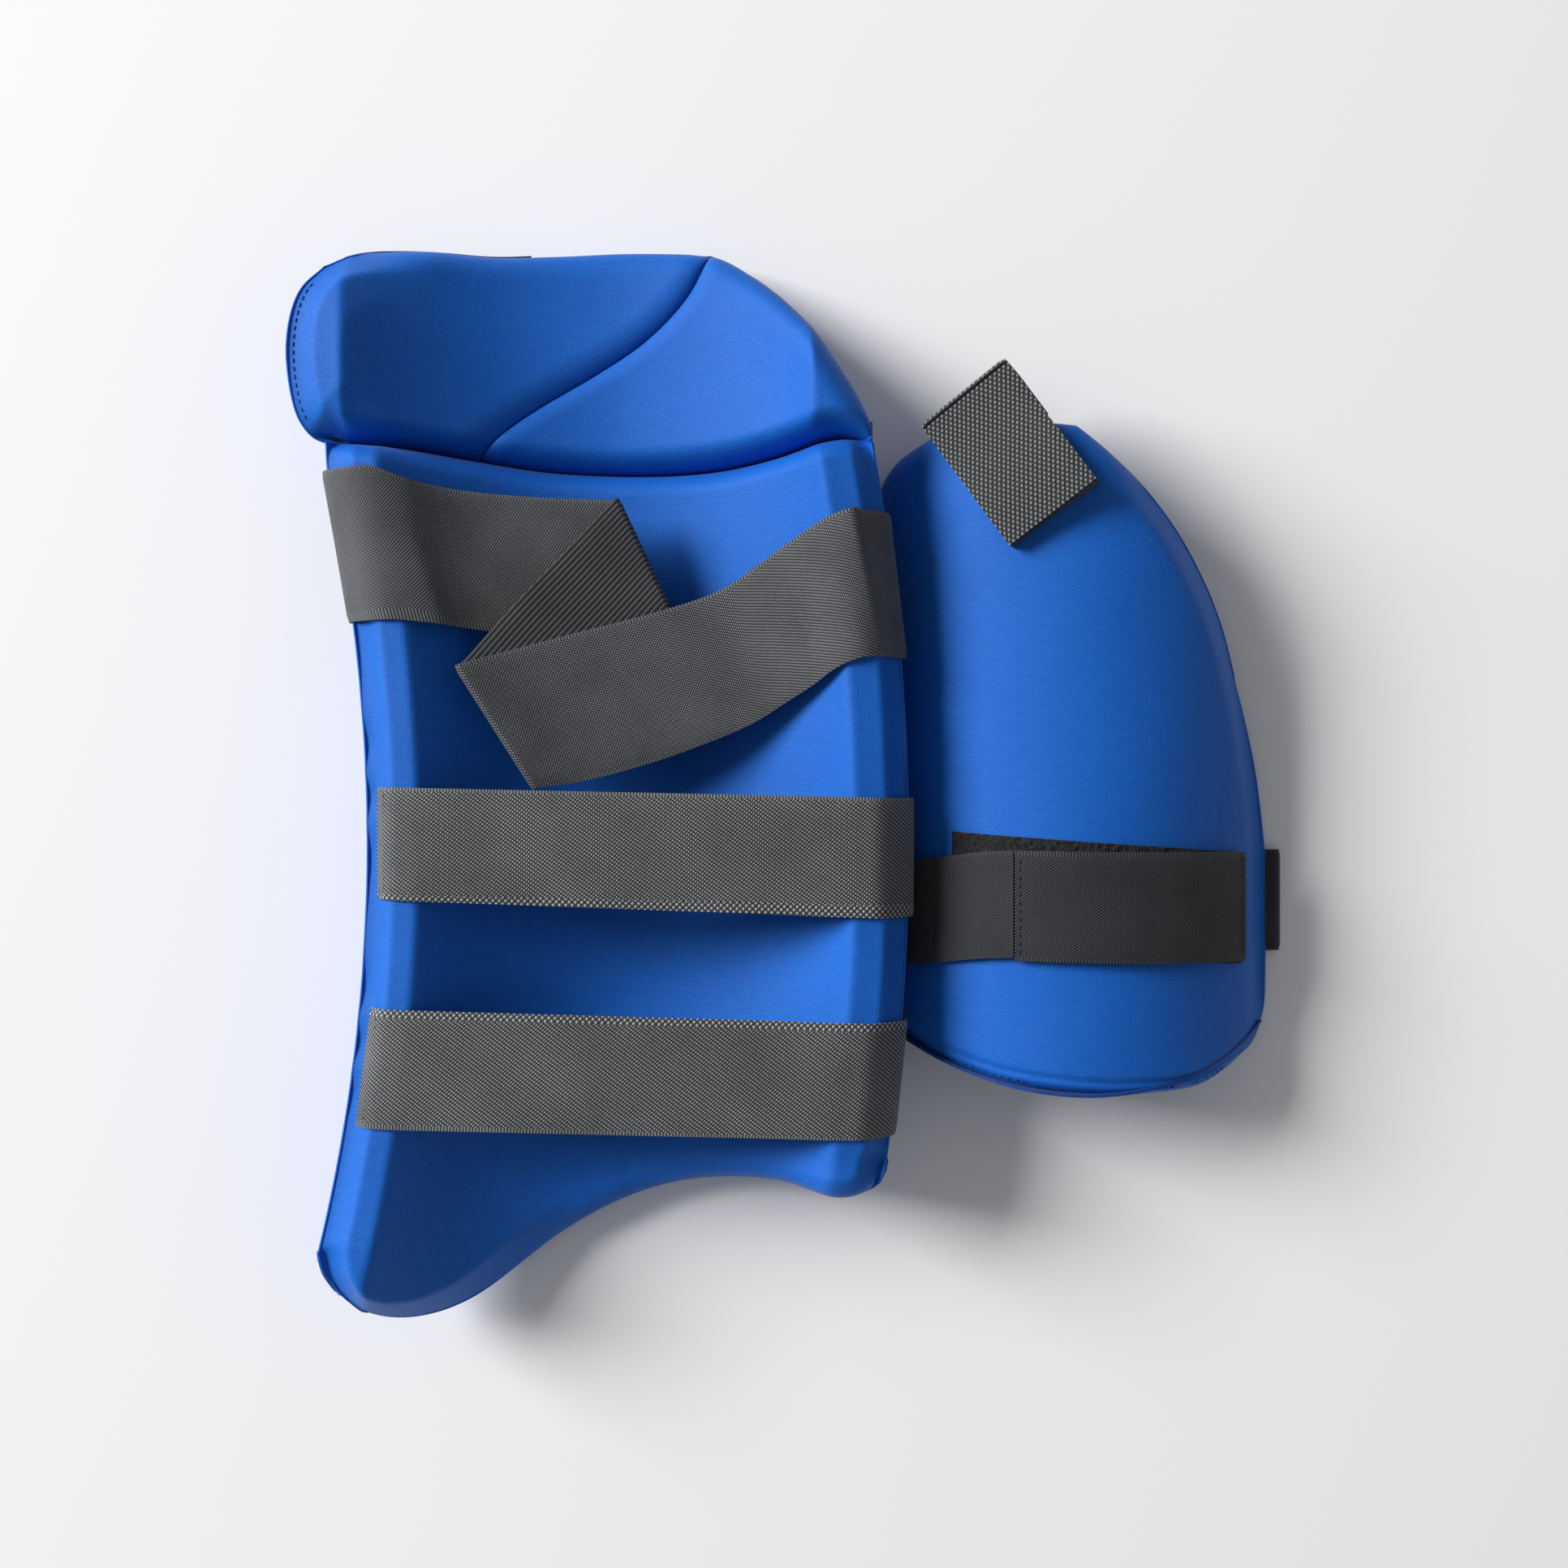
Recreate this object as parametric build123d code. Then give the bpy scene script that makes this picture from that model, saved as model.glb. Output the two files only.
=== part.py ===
from build123d import *
import os
from math import asin, cos, degrees, radians, sin, sqrt, tan

# A batter's thigh guard set: an outer guard that lies hollow side up, with a hip flap along its
# top edge, and a smaller inner guard that lies hollow side down beside it.
# +X runs across the guards, +Y up the leg to the hip, +Z away from the surface that they lie on.
# The origin is on the outer guard's flat base, on its centreline. Sizes are in millimetres.

# Outer guard: the pad's section across the trough
half_width = 113.0
flap_flare = 15.5
base_flat = 24.0
pad_thickness = 20.0
widest_height = 46.0
bevel_run = 12.5
bevel_rise = 13.0
rim_run = 11.0
rim_rise = 2.0
seam_height = 9.0

# Outer guard: the centreline bends sideways along a large arc
bend_radius = 830.0
bend_y = -25.0

# Outer guard: lengthwise
hinge_y = 141.0
top_y = 233.0
bottom_y = -230.5
right_lobe_y = -173.5

# Layers
cover = 1.2
layer_gap = 0.15
body_gap = 0.3
welt = 2.0

# Straps
belt_width = 62.0
strap_width = 48.0
strap = 1.6
strap_gap = 1.0
patch_gap = 0.5
inner_strap_gap = 0.3
loop_pile = 1.4
hook = 1.0
mid_strap_y = -28.5
lower_strap_y = -119.5
belt_left_y = 99.0
belt_right_y = 83.0
strap_slant = -1.6
root_reach = 30.31
tip_reach = 70.04
back_reach = 20.97
fold_rise = 3.4
patch_margin = 2.0

# Inner guard
inner_offset = 74.0
inner_half_width = 87.0
crown_height = 55.0
edge_height = 4.305
inner_thickness = 15.0
inner_top_y = 152.0
inner_bottom_y = -130.0
inner_strap_width = 45.0
inner_strap_y = -51.0
inner_step_angle = -46.0
inner_root_angle = -17.0
inner_tip_angle = 43.0
inner_loop_angle = -33.0
stub = 7.0

# Webbing belt loop on the inner guard's top edge
webbing_width = 44.0
webbing_length = 62.0
webbing = 3.0
webbing_turn = -52.6
webbing_gap = 5.0
webbing_leg = 22.0
webbing_patch = 22.0
loop_inset_x = 31.2
loop_inset_y = 15.4

outer_radius = ((half_width - base_flat / 2) ** 2 + widest_height**2) / (2 * widest_height)
rim_turn = degrees(asin((half_width - base_flat / 2) / outer_radius))
root_angle = rim_turn - degrees(root_reach / outer_radius)
tip_angle = rim_turn - degrees(tip_reach / outer_radius)
rim_top = widest_height + bevel_rise + rim_rise
flap_reach = half_width + flap_flare
hollow = half_width - bevel_run - rim_run
inner_x = half_width + inner_offset
inner_left_x = inner_x - inner_half_width
inner_right_x = inner_x + inner_half_width
arch_rise = crown_height - edge_height
arch_radius = (inner_half_width**2 + arch_rise**2) / (2 * arch_rise)
arch_z = crown_height - arch_radius
loop_x = inner_x - loop_inset_x
loop_y = inner_top_y - loop_inset_y
foot_height = inner_strap_gap + strap
wedge_depth = 5.0
tall = 400.0
far = 600.0


def centre_x(y):
    """The trough's centreline at y."""
    return sqrt(bend_radius**2 - (y - bend_y) ** 2) - bend_radius


def box(x0, x1, y0, y1, z0, z1):
    """A block between two corners."""
    return Pos((x0 + x1) / 2, (y0 + y1) / 2, (z0 + z1) / 2) * Box(x1 - x0, y1 - y0, z1 - z0)


def trough(left, right, capped=False):
    """The pad's section: flat base, round outside, bevelled rims, round inside or a flat cap."""
    half = base_flat / 2
    outer_right = (right, widest_height)
    outer_left = (-left, widest_height)
    corner_right = (right - bevel_run, widest_height + bevel_rise)
    corner_left = (bevel_run - left, widest_height + bevel_rise)
    inner_right = (corner_right[0] - rim_run, rim_top)
    inner_left = (corner_left[0] + rim_run, rim_top)
    inside = Line(inner_left, inner_right)
    if not capped:
        inside = ThreePointArc(inner_left, (0, pad_thickness), inner_right)
    edges = [
        Line((-half, 0), (half, 0)),
        TangentArc((half, 0), outer_right, tangent=(1, 0)),
        Line(outer_right, corner_right),
        Line(corner_right, inner_right),
        inside,
        Line(inner_left, corner_left),
        Line(corner_left, outer_left),
        TangentArc((-half, 0), outer_left, tangent=(-1, 0)),
    ]
    return make_face(edges)


def below_seam(left, right, shift):
    """The region under the line where the outside and inside halves of a pad are sewn together."""
    ends = widest_height + shift
    arc = ThreePointArc((-left, ends), (0, seam_height + shift), (right, ends))
    frame = Polyline((-left, ends), (-far, ends), (-far, -tall), (far, -tall), (far, ends), (right, ends))
    return make_face([arc, frame])


def along_bend(section):
    """Turns a section about the distant upright axis that the outer guard's centreline bends round."""
    below, above = 17.5, 14.5
    axis = Axis((-bend_radius, bend_y, 0), (0, 0, 1))
    start = (Pos(0, bend_y, 0) * (Plane.XZ * section)).rotate(axis, -below)
    return revolve(start, axis, revolution_arc=below + above)


def along_flap(section):
    """Runs a section straight up the hip flap from the hinge."""
    return Pos(centre_x(hinge_y), hinge_y, 0) * extrude(Plane.XZ * section, -(top_y - hinge_y + 20))


def prism(outline):
    """An upright block over an outline drawn in plan."""
    return Pos(0, 0, -tall / 2) * extrude(outline, tall)


def rounded_line(corners, radii):
    """A line through corners, each rounded as far as the straights beside it leave room."""
    used = 0
    fitted = []
    for before, corner, after, radius in zip(corners, corners[1:], corners[2:], radii):
        arriving = Vector(*corner) - Vector(*before)
        leaving = Vector(*after) - Vector(*corner)
        half_turn = tan(radians(arriving.get_angle(leaving)) / 2)
        used = min(radius * half_turn, arriving.length - used - 1, leaving.length - 2)
        fitted.append(used / half_turn)
    return FilletPolyline(*corners, radius=fitted)


def body_outline():
    """The outer guard's plan: straight along the hinge, a long S along the bottom with a lobe each side."""
    top = hinge_y - body_gap / 2
    right, left = half_width, -half_width
    start = (right + 5, right_lobe_y + 73)
    end = (left - 25, bottom_y + 80)
    corners = [
        start, (right - 9, right_lobe_y - 1.5), (right - 63, right_lobe_y + 4), (-5, right_lobe_y - 4),
        (left + 31, bottom_y - 1), (left - 16, bottom_y - 1), end,
    ]
    curve = rounded_line(corners, [16, 100, 150, 22, 32])
    frame = Polyline(end, (-far, bottom_y + 80), (-far, top), (far, top), (far, right_lobe_y + 73), start)
    return make_face([curve, frame])


def flap_outline():
    """The hip flap's plan: a full left edge, a rounded top and a long diagonal down to the right."""
    base = hinge_y + body_gap / 2
    hem = centre_x(hinge_y)
    left, right = hem - flap_reach, hem + half_width
    corners = [
        (right + 1, base), (right - 1, base + 15), (right - 36, top_y - 25), (right - 68, top_y),
        (left + 4, top_y - 4), (left - 2, top_y - 60), (left + 12, base),
    ]
    curve = rounded_line(corners, [40, 60, 3, 28, 60])
    return make_face([curve, Line(corners[-1], corners[0])])


def side_panel_region(shift):
    """The region right of the S-shaped seam that splits the hip flap's inner face."""
    corners = [(-77, hinge_y - 7), (-50, hinge_y + 20), (2, hinge_y + 50.5), (38, top_y + 10)]
    corners = [(x + shift, y) for x, y in corners]
    seam = rounded_line(corners, [80, 60])
    frame = Polyline(corners[-1], (far, top_y + 10), (far, hinge_y - 7), corners[0])
    return make_face([seam, frame])


def inner_outline():
    """The inner guard's plan: a D whose right side curves in to the top."""
    peak = (inner_x - 4, inner_top_y)
    shoulder = (inner_right_x, inner_top_y - 178)
    right_foot = (inner_right_x, inner_bottom_y + 28)
    left_foot = (inner_left_x, inner_bottom_y + 28)
    left_top = (inner_left_x, inner_top_y - 34)
    curve = ThreePointArc(peak, (inner_right_x - 23, inner_top_y - 83), shoulder)
    right = Line(shoulder, right_foot)
    bottom = ThreePointArc(right_foot, (inner_x + 3, inner_bottom_y), left_foot)
    left = Line(left_foot, left_top)
    top = ThreePointArc(left_top, (inner_left_x + 13, inner_top_y - 15), peak)
    return make_face([curve, right, bottom, left, top])


def shelled(make, section, outline):
    """A pad as its full solid, the space inside its fabric and the foam that fills the space."""
    full = make(section) & prism(outline)
    space = make(offset(section, -cover)) & prism(offset(outline, -cover))
    inset = cover + layer_gap
    foam = make(offset(section, -inset)) & prism(offset(outline, -inset))
    return full, space, foam


def save(name, shape):
    export_step(shape, "parts/" + name + ".step")


def away_from(centre, angle, distance):
    """The point at a distance from a centre, at an angle from straight down towards +X."""
    return centre[0] + distance * sin(radians(angle)), centre[1] - distance * cos(radians(angle))


def sector(centre, radius, start, end):
    """A wedge that starts just inside an arc, between two angles from straight down towards +X."""
    near = radius - wedge_depth
    reach = 2 * radius
    corners = []
    for angle, distance in ((start, near), (start, reach), (end, reach), (end, near), (start, near)):
        corners.append(away_from(centre, angle, distance))
    return make_face(Polyline(*corners))


def ring(section, low, high):
    """The band between two distances outside a section."""
    return offset(section, high) - offset(section, low)


def rim_angle(y, side):
    """The bend's angle where a rim passes y: side is -1 for the left rim and +1 for the right."""
    return asin((y - bend_y) / (bend_radius + side * half_width))


def rim_point(y, side, inward, along, z):
    """A point by a rim: in from its widest line, then along it from y."""
    angle = rim_angle(y, side)
    radius = bend_radius + side * (half_width - inward)
    x = radius * cos(angle) - along * sin(angle) - bend_radius
    return x, bend_y + radius * sin(angle) + along * cos(angle), z


def across(section, y, width, slant=0.0):
    """A strip of a section at y, turned by slant, that runs along the trough's rim for its width."""
    heading = asin((y - bend_y) / bend_radius)
    turn = radians(slant)
    level = (cos(turn), sin(turn), 0)
    place = Plane(origin=(centre_x(y), y, 0), x_dir=level, z_dir=(sin(turn), -cos(turn), 0))
    along = Vector(-sin(heading), cos(heading), 0)
    face = Pos(*(along * (-width / 2))) * (place * section)
    return extrude(face, width, dir=along)


def at_rim(section, y, side, width):
    """A strip of a section square to a rim, centred where the rim passes y."""
    angle = rim_angle(y, side)
    return across(section, bend_y + bend_radius * sin(angle), width, degrees(angle))


def plate(start, end, thickness):
    """A flat length of strap between two edges, each given by two points on its middle plane."""
    up = Vector(0, 0, thickness / 2)
    ends = []
    for first, second in (start, end):
        first, second = Vector(*first), Vector(*second)
        ends.append(make_face(Polyline(first - up, second - up, second + up, first + up, first - up)))
    return loft(ends, ruled=True)


def raised(edge, rise):
    """A strap's edge moved up."""
    return [(x, y, z + rise) for x, y, z in edge]


os.makedirs("parts", exist_ok=True)

# Outer guard: the body's foams and fabrics
right_centre = (base_flat / 2, outer_radius)
section = trough(half_width, half_width)
outline = body_outline()
full, space, foam = shelled(along_bend, section, outline)
lower_half = along_bend(below_seam(half_width, half_width, -layer_gap / 2))
lower_and_gap = along_bend(below_seam(half_width, half_width, layer_gap / 2))
skin = full - space
hinge_end = box(-far, far, hinge_y - welt, hinge_y, -tall, tall)
behind_welt = box(-far, far, hinge_y - welt - layer_gap, hinge_y, -tall, tall)
save("hinge_seam_welt", full & hinge_end)
save("thigh_outer_cover", (skin & lower_half) - behind_welt)
save("thigh_inner_cover", (skin - lower_and_gap) - behind_welt)
save("thigh_shell_foam", (foam & lower_half) - behind_welt)
save("thigh_liner_foam", (foam - lower_and_gap) - behind_welt)

# Outer guard: the hip flap
flap_section = trough(flap_reach, half_width)
flap_plan = flap_outline()
flap, flap_space, flap_foam = shelled(along_flap, flap_section, flap_plan)
flap_lower = along_flap(below_seam(flap_reach, half_width, -layer_gap / 2))
flap_lower_and_gap = along_flap(below_seam(flap_reach, half_width, layer_gap / 2))
side = prism(side_panel_region(layer_gap / 2))
side_and_gap = prism(side_panel_region(-layer_gap / 2))
flap_skin = flap - flap_space
inner_skin = flap_skin - flap_lower_and_gap
binding_start = centre_x(hinge_y) - flap_reach + 27
binding_end = centre_x(hinge_y) + half_width - 90
binding_y = top_y - 22
binding_zone = box(binding_start, binding_end, binding_y, far, -tall, tall) & flap_lower
edge_zone = prism(flap_plan) - prism(offset(flap_plan, -cover))
save("hip_top_binding", flap_skin & binding_zone & edge_zone)
edge_and_gap = prism(flap_plan) - prism(offset(flap_plan, -cover - layer_gap))
binding_cut = box(binding_start - layer_gap, binding_end + layer_gap, binding_y - layer_gap, far, -tall, tall)
binding_and_gap = binding_cut & edge_and_gap
save("hip_outer_cover", (flap_skin & flap_lower) - binding_and_gap)
save("hip_side_cover", inner_skin & side)
save("hip_front_cover", inner_skin - side_and_gap)
save("hip_shell_foam", flap_foam & flap_lower)
save("hip_side_foam", (flap_foam - flap_lower_and_gap) & side)
save("hip_front_foam", (flap_foam - flap_lower_and_gap) - side_and_gap)

# Outer guard: what fastens on its outside, as bands outside the capped section
capped = trough(half_width, half_width, capped=True)
band = ring(capped, strap_gap, strap_gap + strap)
hook_low = patch_gap + loop_pile + body_gap
tab_low = hook_low + hook + layer_gap
tab_high = tab_low + strap
lap_angle = root_angle + 1.4
loop_band = ring(capped, patch_gap, patch_gap + loop_pile)
loop_band = loop_band & sector(right_centre, outer_radius, tip_angle - 2, root_angle + 1)
hook_band = ring(capped, hook_low, hook_low + hook)
hook_band = hook_band & sector(right_centre, outer_radius, tip_angle + 0.6, root_angle - 1)
tab_band = ring(capped, tab_low, tab_high) & sector(right_centre, outer_radius, tip_angle, root_angle - 0.2)
lap_band = ring(capped, strap_gap, tab_high) & sector(right_centre, outer_radius, lap_angle, root_angle + 3)
root_step = ring(capped, tab_low, tab_high) & sector(right_centre, outer_radius, root_angle, root_angle + 2)
fixed_end = lap_band + root_step


def over_rims(left_end):
    """The region of a strap's band from the left rim, over the hollow and round the right rim."""
    low = widest_height + 2
    over_root = away_from(right_centre, lap_angle, (outer_radius - low) / cos(radians(lap_angle)))
    past_root = away_from(right_centre, lap_angle, tall)
    corners = [(left_end, low), over_root, past_root, (far, 0), (far, tall), (left_end, tall)]
    return make_face(Polyline(*corners, close=True))


thigh_strap = (band & over_rims(bevel_run / 2 - half_width)) + fixed_end
for name, y in (("mid_strap", mid_strap_y), ("lower_strap", lower_strap_y)):
    save(name, across(thigh_strap, y, strap_width, strap_slant))
    save(name + "_tab", across(tab_band, y, strap_width, strap_slant))
    save(name + "_hook_patch", across(hook_band, y, strap_width - 2 * patch_margin, strap_slant))
    save(name + "_loop_patch", across(loop_band, y, strap_width + 2 * patch_margin, strap_slant))

# Outer guard: the waist belt, folded over twice as it crosses the hollow
right_wrap = (band & over_rims(hollow)) + fixed_end
left_centre = (-base_flat / 2, outer_radius)
back_end = degrees(back_reach / outer_radius) - rim_turn


def left_of(x, low):
    """The region left of x and above a height."""
    return make_face(Polyline((-far, low), (x, low), (x, tall), (-far, tall), close=True))


left_region = sector(left_centre, outer_radius, back_end, -75) + left_of(-hollow, widest_height - 6)
left_wrap = band & left_region & left_of(-hollow, -tall)
rest = rim_top + strap_gap + strap / 2
half_belt = belt_width / 2
rim_width = bevel_run + rim_run - 1
left_edge = [rim_point(belt_left_y, -1, rim_width, along, rest) for along in (half_belt, -half_belt)]
right_edge = [rim_point(belt_right_y, 1, rim_width, along, rest) for along in (half_belt, -half_belt)]


def line_across(x, down, sink, lean, reach, tilt):
    """A line across the belt, given by its middle: down from its left wrap and sunk under the rims."""
    y = belt_left_y - down
    z = rim_top - sink
    first = (x - lean * half_belt, y + reach * half_belt, z + tilt)
    second = (x + lean * half_belt, y - reach * half_belt, z - tilt)
    return [first, second]


crease_1 = line_across(95 - hollow, 11, 21, 0.5, 1.032, 2)
crease_2 = line_across(31 - hollow, 74.5, 12, 0.5, 0.823, 4)
turn_up = line_across(hollow - 60.5, 49.5, 16.25, 0.29, 0.952, 0.75)


def fold(edge, height):
    """The turn of a fold: an upright wall on a crease that joins two lengths of the belt."""
    low = raised(edge, height / 2)
    side_step = [(x + strap, y, z) for x, y, z in low]
    other_step = [(x - strap, y, z) for x, y, z in low]
    return plate(other_step, side_step, height + strap)


belt = [
    at_rim(left_wrap, belt_left_y, -1, belt_width),
    plate(left_edge, crease_1, strap),
    fold(crease_1, fold_rise),
    plate(raised(crease_1, fold_rise), crease_2, strap),
    fold(crease_2, fold_rise),
    plate(raised(crease_2, fold_rise), turn_up, strap),
    plate(turn_up, right_edge, strap),
    at_rim(right_wrap, belt_right_y, 1, belt_width),
]
whole_belt = belt[0]
for length in belt[1:]:
    whole_belt = whole_belt + length
save("waist_belt", whole_belt)
save("waist_belt_tab", at_rim(tab_band, belt_right_y, 1, belt_width))
save("waist_belt_hook_patch", at_rim(hook_band, belt_right_y, 1, belt_width - 2 * patch_margin))
save("waist_belt_loop_patch", at_rim(loop_band, belt_right_y, 1, belt_width + 2 * patch_margin))

# Inner guard: an arch that stands on its two feet
above_table = Pos(0, far / 2) * Rectangle(2 * far, far)
inner_place = Pos(inner_x, 0)


def arch(grow):
    """The arch's section, grown or shrunk all round."""
    outer = Pos(0, arch_z) * Circle(arch_radius + grow)
    inner = Pos(0, arch_z) * Circle(arch_radius - inner_thickness - grow)
    return inner_place * ((outer - inner) & (Pos(0, foot_height - grow) * above_table))


def along_inner(section):
    """Runs a section straight along the inner guard."""
    return Pos(0, inner_bottom_y - 20, 0) * extrude(Plane.XZ * section, -(inner_top_y - inner_bottom_y + 60))


inner_plan = inner_outline()
inner_full = along_inner(arch(0)) & prism(inner_plan)
inner_space = along_inner(arch(-cover)) & prism(offset(inner_plan, -cover))
inset = cover + layer_gap
inner_foam = along_inner(arch(-inset)) & prism(offset(inner_plan, -inset))
middle_radius = arch_radius - inner_thickness / 2
core = along_inner(inner_place * (Pos(0, arch_z) * Circle(middle_radius - layer_gap / 2)))
core_and_gap = along_inner(inner_place * (Pos(0, arch_z) * Circle(middle_radius + layer_gap / 2)))
inner_skin_all = inner_full - inner_space
end_wall = prism(inner_plan) - prism(offset(inner_plan, -cover))
end_wall_and_gap = prism(inner_plan) - prism(offset(inner_plan, -cover - layer_gap))
gusset_y = inner_bottom_y + 26
low_end = box(-far, far, -far, gusset_y, -tall, tall)
low_end_and_gap = box(-far, far, -far, gusset_y + layer_gap, -tall, tall)
save("inner_edge_gusset", inner_skin_all & end_wall & low_end)
inner_skin_rest = inner_skin_all - (end_wall_and_gap & low_end_and_gap)
save("inner_outer_cover", inner_skin_rest - core_and_gap)
save("inner_lining_cover", inner_skin_rest & core)
save("inner_shell_foam", inner_foam - core_and_gap)
save("inner_liner_foam", inner_foam & core)

# Inner guard: its strap, from the right edge under the arch and round the left edge to the face
arch_centre = (inner_x, arch_z)
filled = inner_place * ((Pos(0, arch_z) * Circle(arch_radius)) & (Pos(0, foot_height) * above_table))
inner_hook = layer_gap + loop_pile + body_gap
inner_tab = inner_hook + hook + layer_gap
snug_band = ring(filled, inner_strap_gap, inner_strap_gap + strap)
stub_end = inner_right_x + stub
under_top = foot_height - 0.2
left_turn = foot_height + 4
under_corners = [(0, -tall), (stub_end, -tall), (stub_end, under_top), (inner_x, under_top)]
under_corners += [(inner_x - 60, left_turn), (0, left_turn)]
under = snug_band & make_face(Polyline(*under_corners, close=True))
under = under + Pos(inner_right_x + stub / 2 - 5, strap / 2) * Rectangle(stub + 10, strap)
tail_length = 4.4
tail_height = 2 * strap + inner_strap_gap
tail = Pos(stub_end - tail_length / 2, tail_height / 2) * Rectangle(tail_length, tail_height)


def angle_sector(start, end):
    """A wedge outside the arch, between two angles from straight up towards +X."""
    return sector(arch_centre, arch_radius, 180 - start, 180 - end)


over_band = ring(filled, inner_tab, inner_tab + strap)
both_bands = ring(filled, inner_strap_gap, inner_tab + strap)
up_side = snug_band & angle_sector(inner_step_angle - 1, -75)
step = both_bands & angle_sector(inner_step_angle + 1, inner_step_angle - 1)
over = over_band & angle_sector(inner_step_angle, inner_root_angle - 0.3)
strap_section = under + tail + up_side + step + over


def strap_run(section, width):
    """A band of the inner guard's strap, centred on the strap."""
    return Pos(0, inner_strap_y - width / 2, 0) * extrude(Plane.XZ * section, -width)


save("inner_strap", strap_run(strap_section, inner_strap_width))
tab = over_band & angle_sector(inner_root_angle, inner_tip_angle)
save("inner_strap_tab", strap_run(tab, inner_strap_width))
hooks = ring(filled, inner_hook, inner_hook + hook) & angle_sector(inner_root_angle + 1, inner_tip_angle - 1)
save("inner_strap_hook_patch", strap_run(hooks, inner_strap_width - 2 * patch_margin))
loops = ring(filled, layer_gap, layer_gap + loop_pile) & angle_sector(inner_loop_angle, inner_tip_angle + 1)
loop_strip = strap_run(loops, inner_strap_width + 2 * patch_margin)
save("inner_strap_loop_strip", Pos(0, patch_margin, 0) * loop_strip)

# Inner guard: the webbing belt loop over its top edge
lean = asin((loop_x - inner_x) / arch_radius)
surface_z = arch_z + arch_radius * cos(lean)
normal = Vector(sin(lean), 0, cos(lean))
run = Vector(cos(radians(webbing_turn)), sin(radians(webbing_turn)), 0)
run = (run - normal * run.dot(normal)).normalized()
loop_plane = Plane(origin=(loop_x, loop_y, surface_z), x_dir=run, z_dir=normal)
tab_z = webbing_gap + webbing / 2
start_x = -webbing_length / 2


def webbing_block(x0, x1, z0, z1, width=webbing_width):
    """A piece of the webbing in the loop's own plane."""
    return loop_plane * (Pos((x0 + x1) / 2, 0, (z0 + z1) / 2) * Box(x1 - x0, width, z1 - z0))


def arch_layer(low, high):
    """A band of the inner guard's length between two distances from the arch's axis."""
    return along_inner(inner_place * (Pos(0, arch_z) * (Circle(high) - Circle(low))))


leg_high = arch_radius - inner_thickness - body_gap
leg_low = leg_high - webbing
depth = -2 * crown_height
turn = webbing_block(start_x - webbing, start_x, depth, tab_z + webbing / 2) & arch_layer(leg_low, tall)
sewn_leg = webbing_block(start_x - 0.5, start_x + webbing_leg, depth, 0) & arch_layer(leg_low, leg_high)
save("belt_loop_webbing", turn + sewn_leg)
tab_low_face = tab_z - webbing / 2
save("belt_loop_tab", webbing_block(start_x + body_gap, -start_x, tab_low_face, tab_z + webbing / 2))
patch_high = tab_low_face - layer_gap
patch_start = -start_x - webbing_patch
hooks = webbing_block(
    patch_start + patch_margin, -start_x - patch_margin, patch_high - hook, patch_high,
    webbing_width - 2 * patch_margin)
save("belt_loop_hook_patch", hooks)
loops = webbing_block(patch_start, -start_x, -tall / 4, patch_high - hook - body_gap)
save("belt_loop_patch", loops & arch_layer(arch_radius + layer_gap, tall))
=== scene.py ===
import bpy
import numpy as np
from math import asin, cos, pi, radians, sin
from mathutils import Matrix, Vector


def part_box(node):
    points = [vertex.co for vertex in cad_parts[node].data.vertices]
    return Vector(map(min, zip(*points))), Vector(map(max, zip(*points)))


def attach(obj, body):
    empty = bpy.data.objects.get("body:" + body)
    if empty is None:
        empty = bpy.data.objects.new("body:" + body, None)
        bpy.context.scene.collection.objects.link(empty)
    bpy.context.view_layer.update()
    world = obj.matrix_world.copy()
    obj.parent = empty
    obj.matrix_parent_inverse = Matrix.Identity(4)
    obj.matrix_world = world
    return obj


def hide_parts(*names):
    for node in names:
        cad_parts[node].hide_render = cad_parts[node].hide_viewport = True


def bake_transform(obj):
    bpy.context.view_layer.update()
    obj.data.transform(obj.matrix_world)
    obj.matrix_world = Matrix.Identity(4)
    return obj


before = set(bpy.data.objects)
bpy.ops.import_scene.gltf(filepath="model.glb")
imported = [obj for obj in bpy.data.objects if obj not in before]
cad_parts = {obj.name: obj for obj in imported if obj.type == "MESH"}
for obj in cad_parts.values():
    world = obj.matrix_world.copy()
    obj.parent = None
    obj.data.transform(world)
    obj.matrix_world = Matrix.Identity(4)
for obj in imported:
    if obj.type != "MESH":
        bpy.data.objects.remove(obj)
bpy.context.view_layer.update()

# A batter's thigh guard set, modelled in millimetres here and written in metres.
# Outer guard: hollow side up, centreline bent sideways along a large arc. Inner guard: hollow side down.
MM = 0.001
HALF_WIDTH = 113.0
BEND_RADIUS = 830.0
BEND_Y = -25.0
HINGE_X = -16.8
FLAP_REACH = 128.5
BASE_HALF = 12.0
FLOOR_THICKNESS = 20.0
WIDEST_Z = 46.0
RIM_Z = 61.0
OUTER_RADIUS = ((HALF_WIDTH - BASE_HALF) ** 2 + WIDEST_Z**2) / (2 * WIDEST_Z)
FLAP_RADIUS = ((FLAP_REACH - BASE_HALF) ** 2 + WIDEST_Z**2) / (2 * WIDEST_Z)
INNER_RADIUS = 118.2
FLAP_INNER_RADIUS = 155.0
ARCH_X = 187.0
ARCH_Z = -45.0
ARCH_RADIUS = 100.0
LINING_RADIUS = 85.0
FOOT_Z = 1.95
LOOP_X = 155.8
LOOP_Y = 136.6
LOOP_TURN = radians(-52.6)
ELASTIC = 1.6
FABRIC = 0.9
RIM_BEVEL = 12.5
RIM_FLAT = 11.0
VALLEY_RISE = 3.2
SEWN_X = -103.6
SEWN_Z = 59.6
WEBBING_HALF = 22.0
WEBBING_LEG_RADIUS = 83.2
FOAM_EDGE = 5
FOAM_GAP = 0.1

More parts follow.
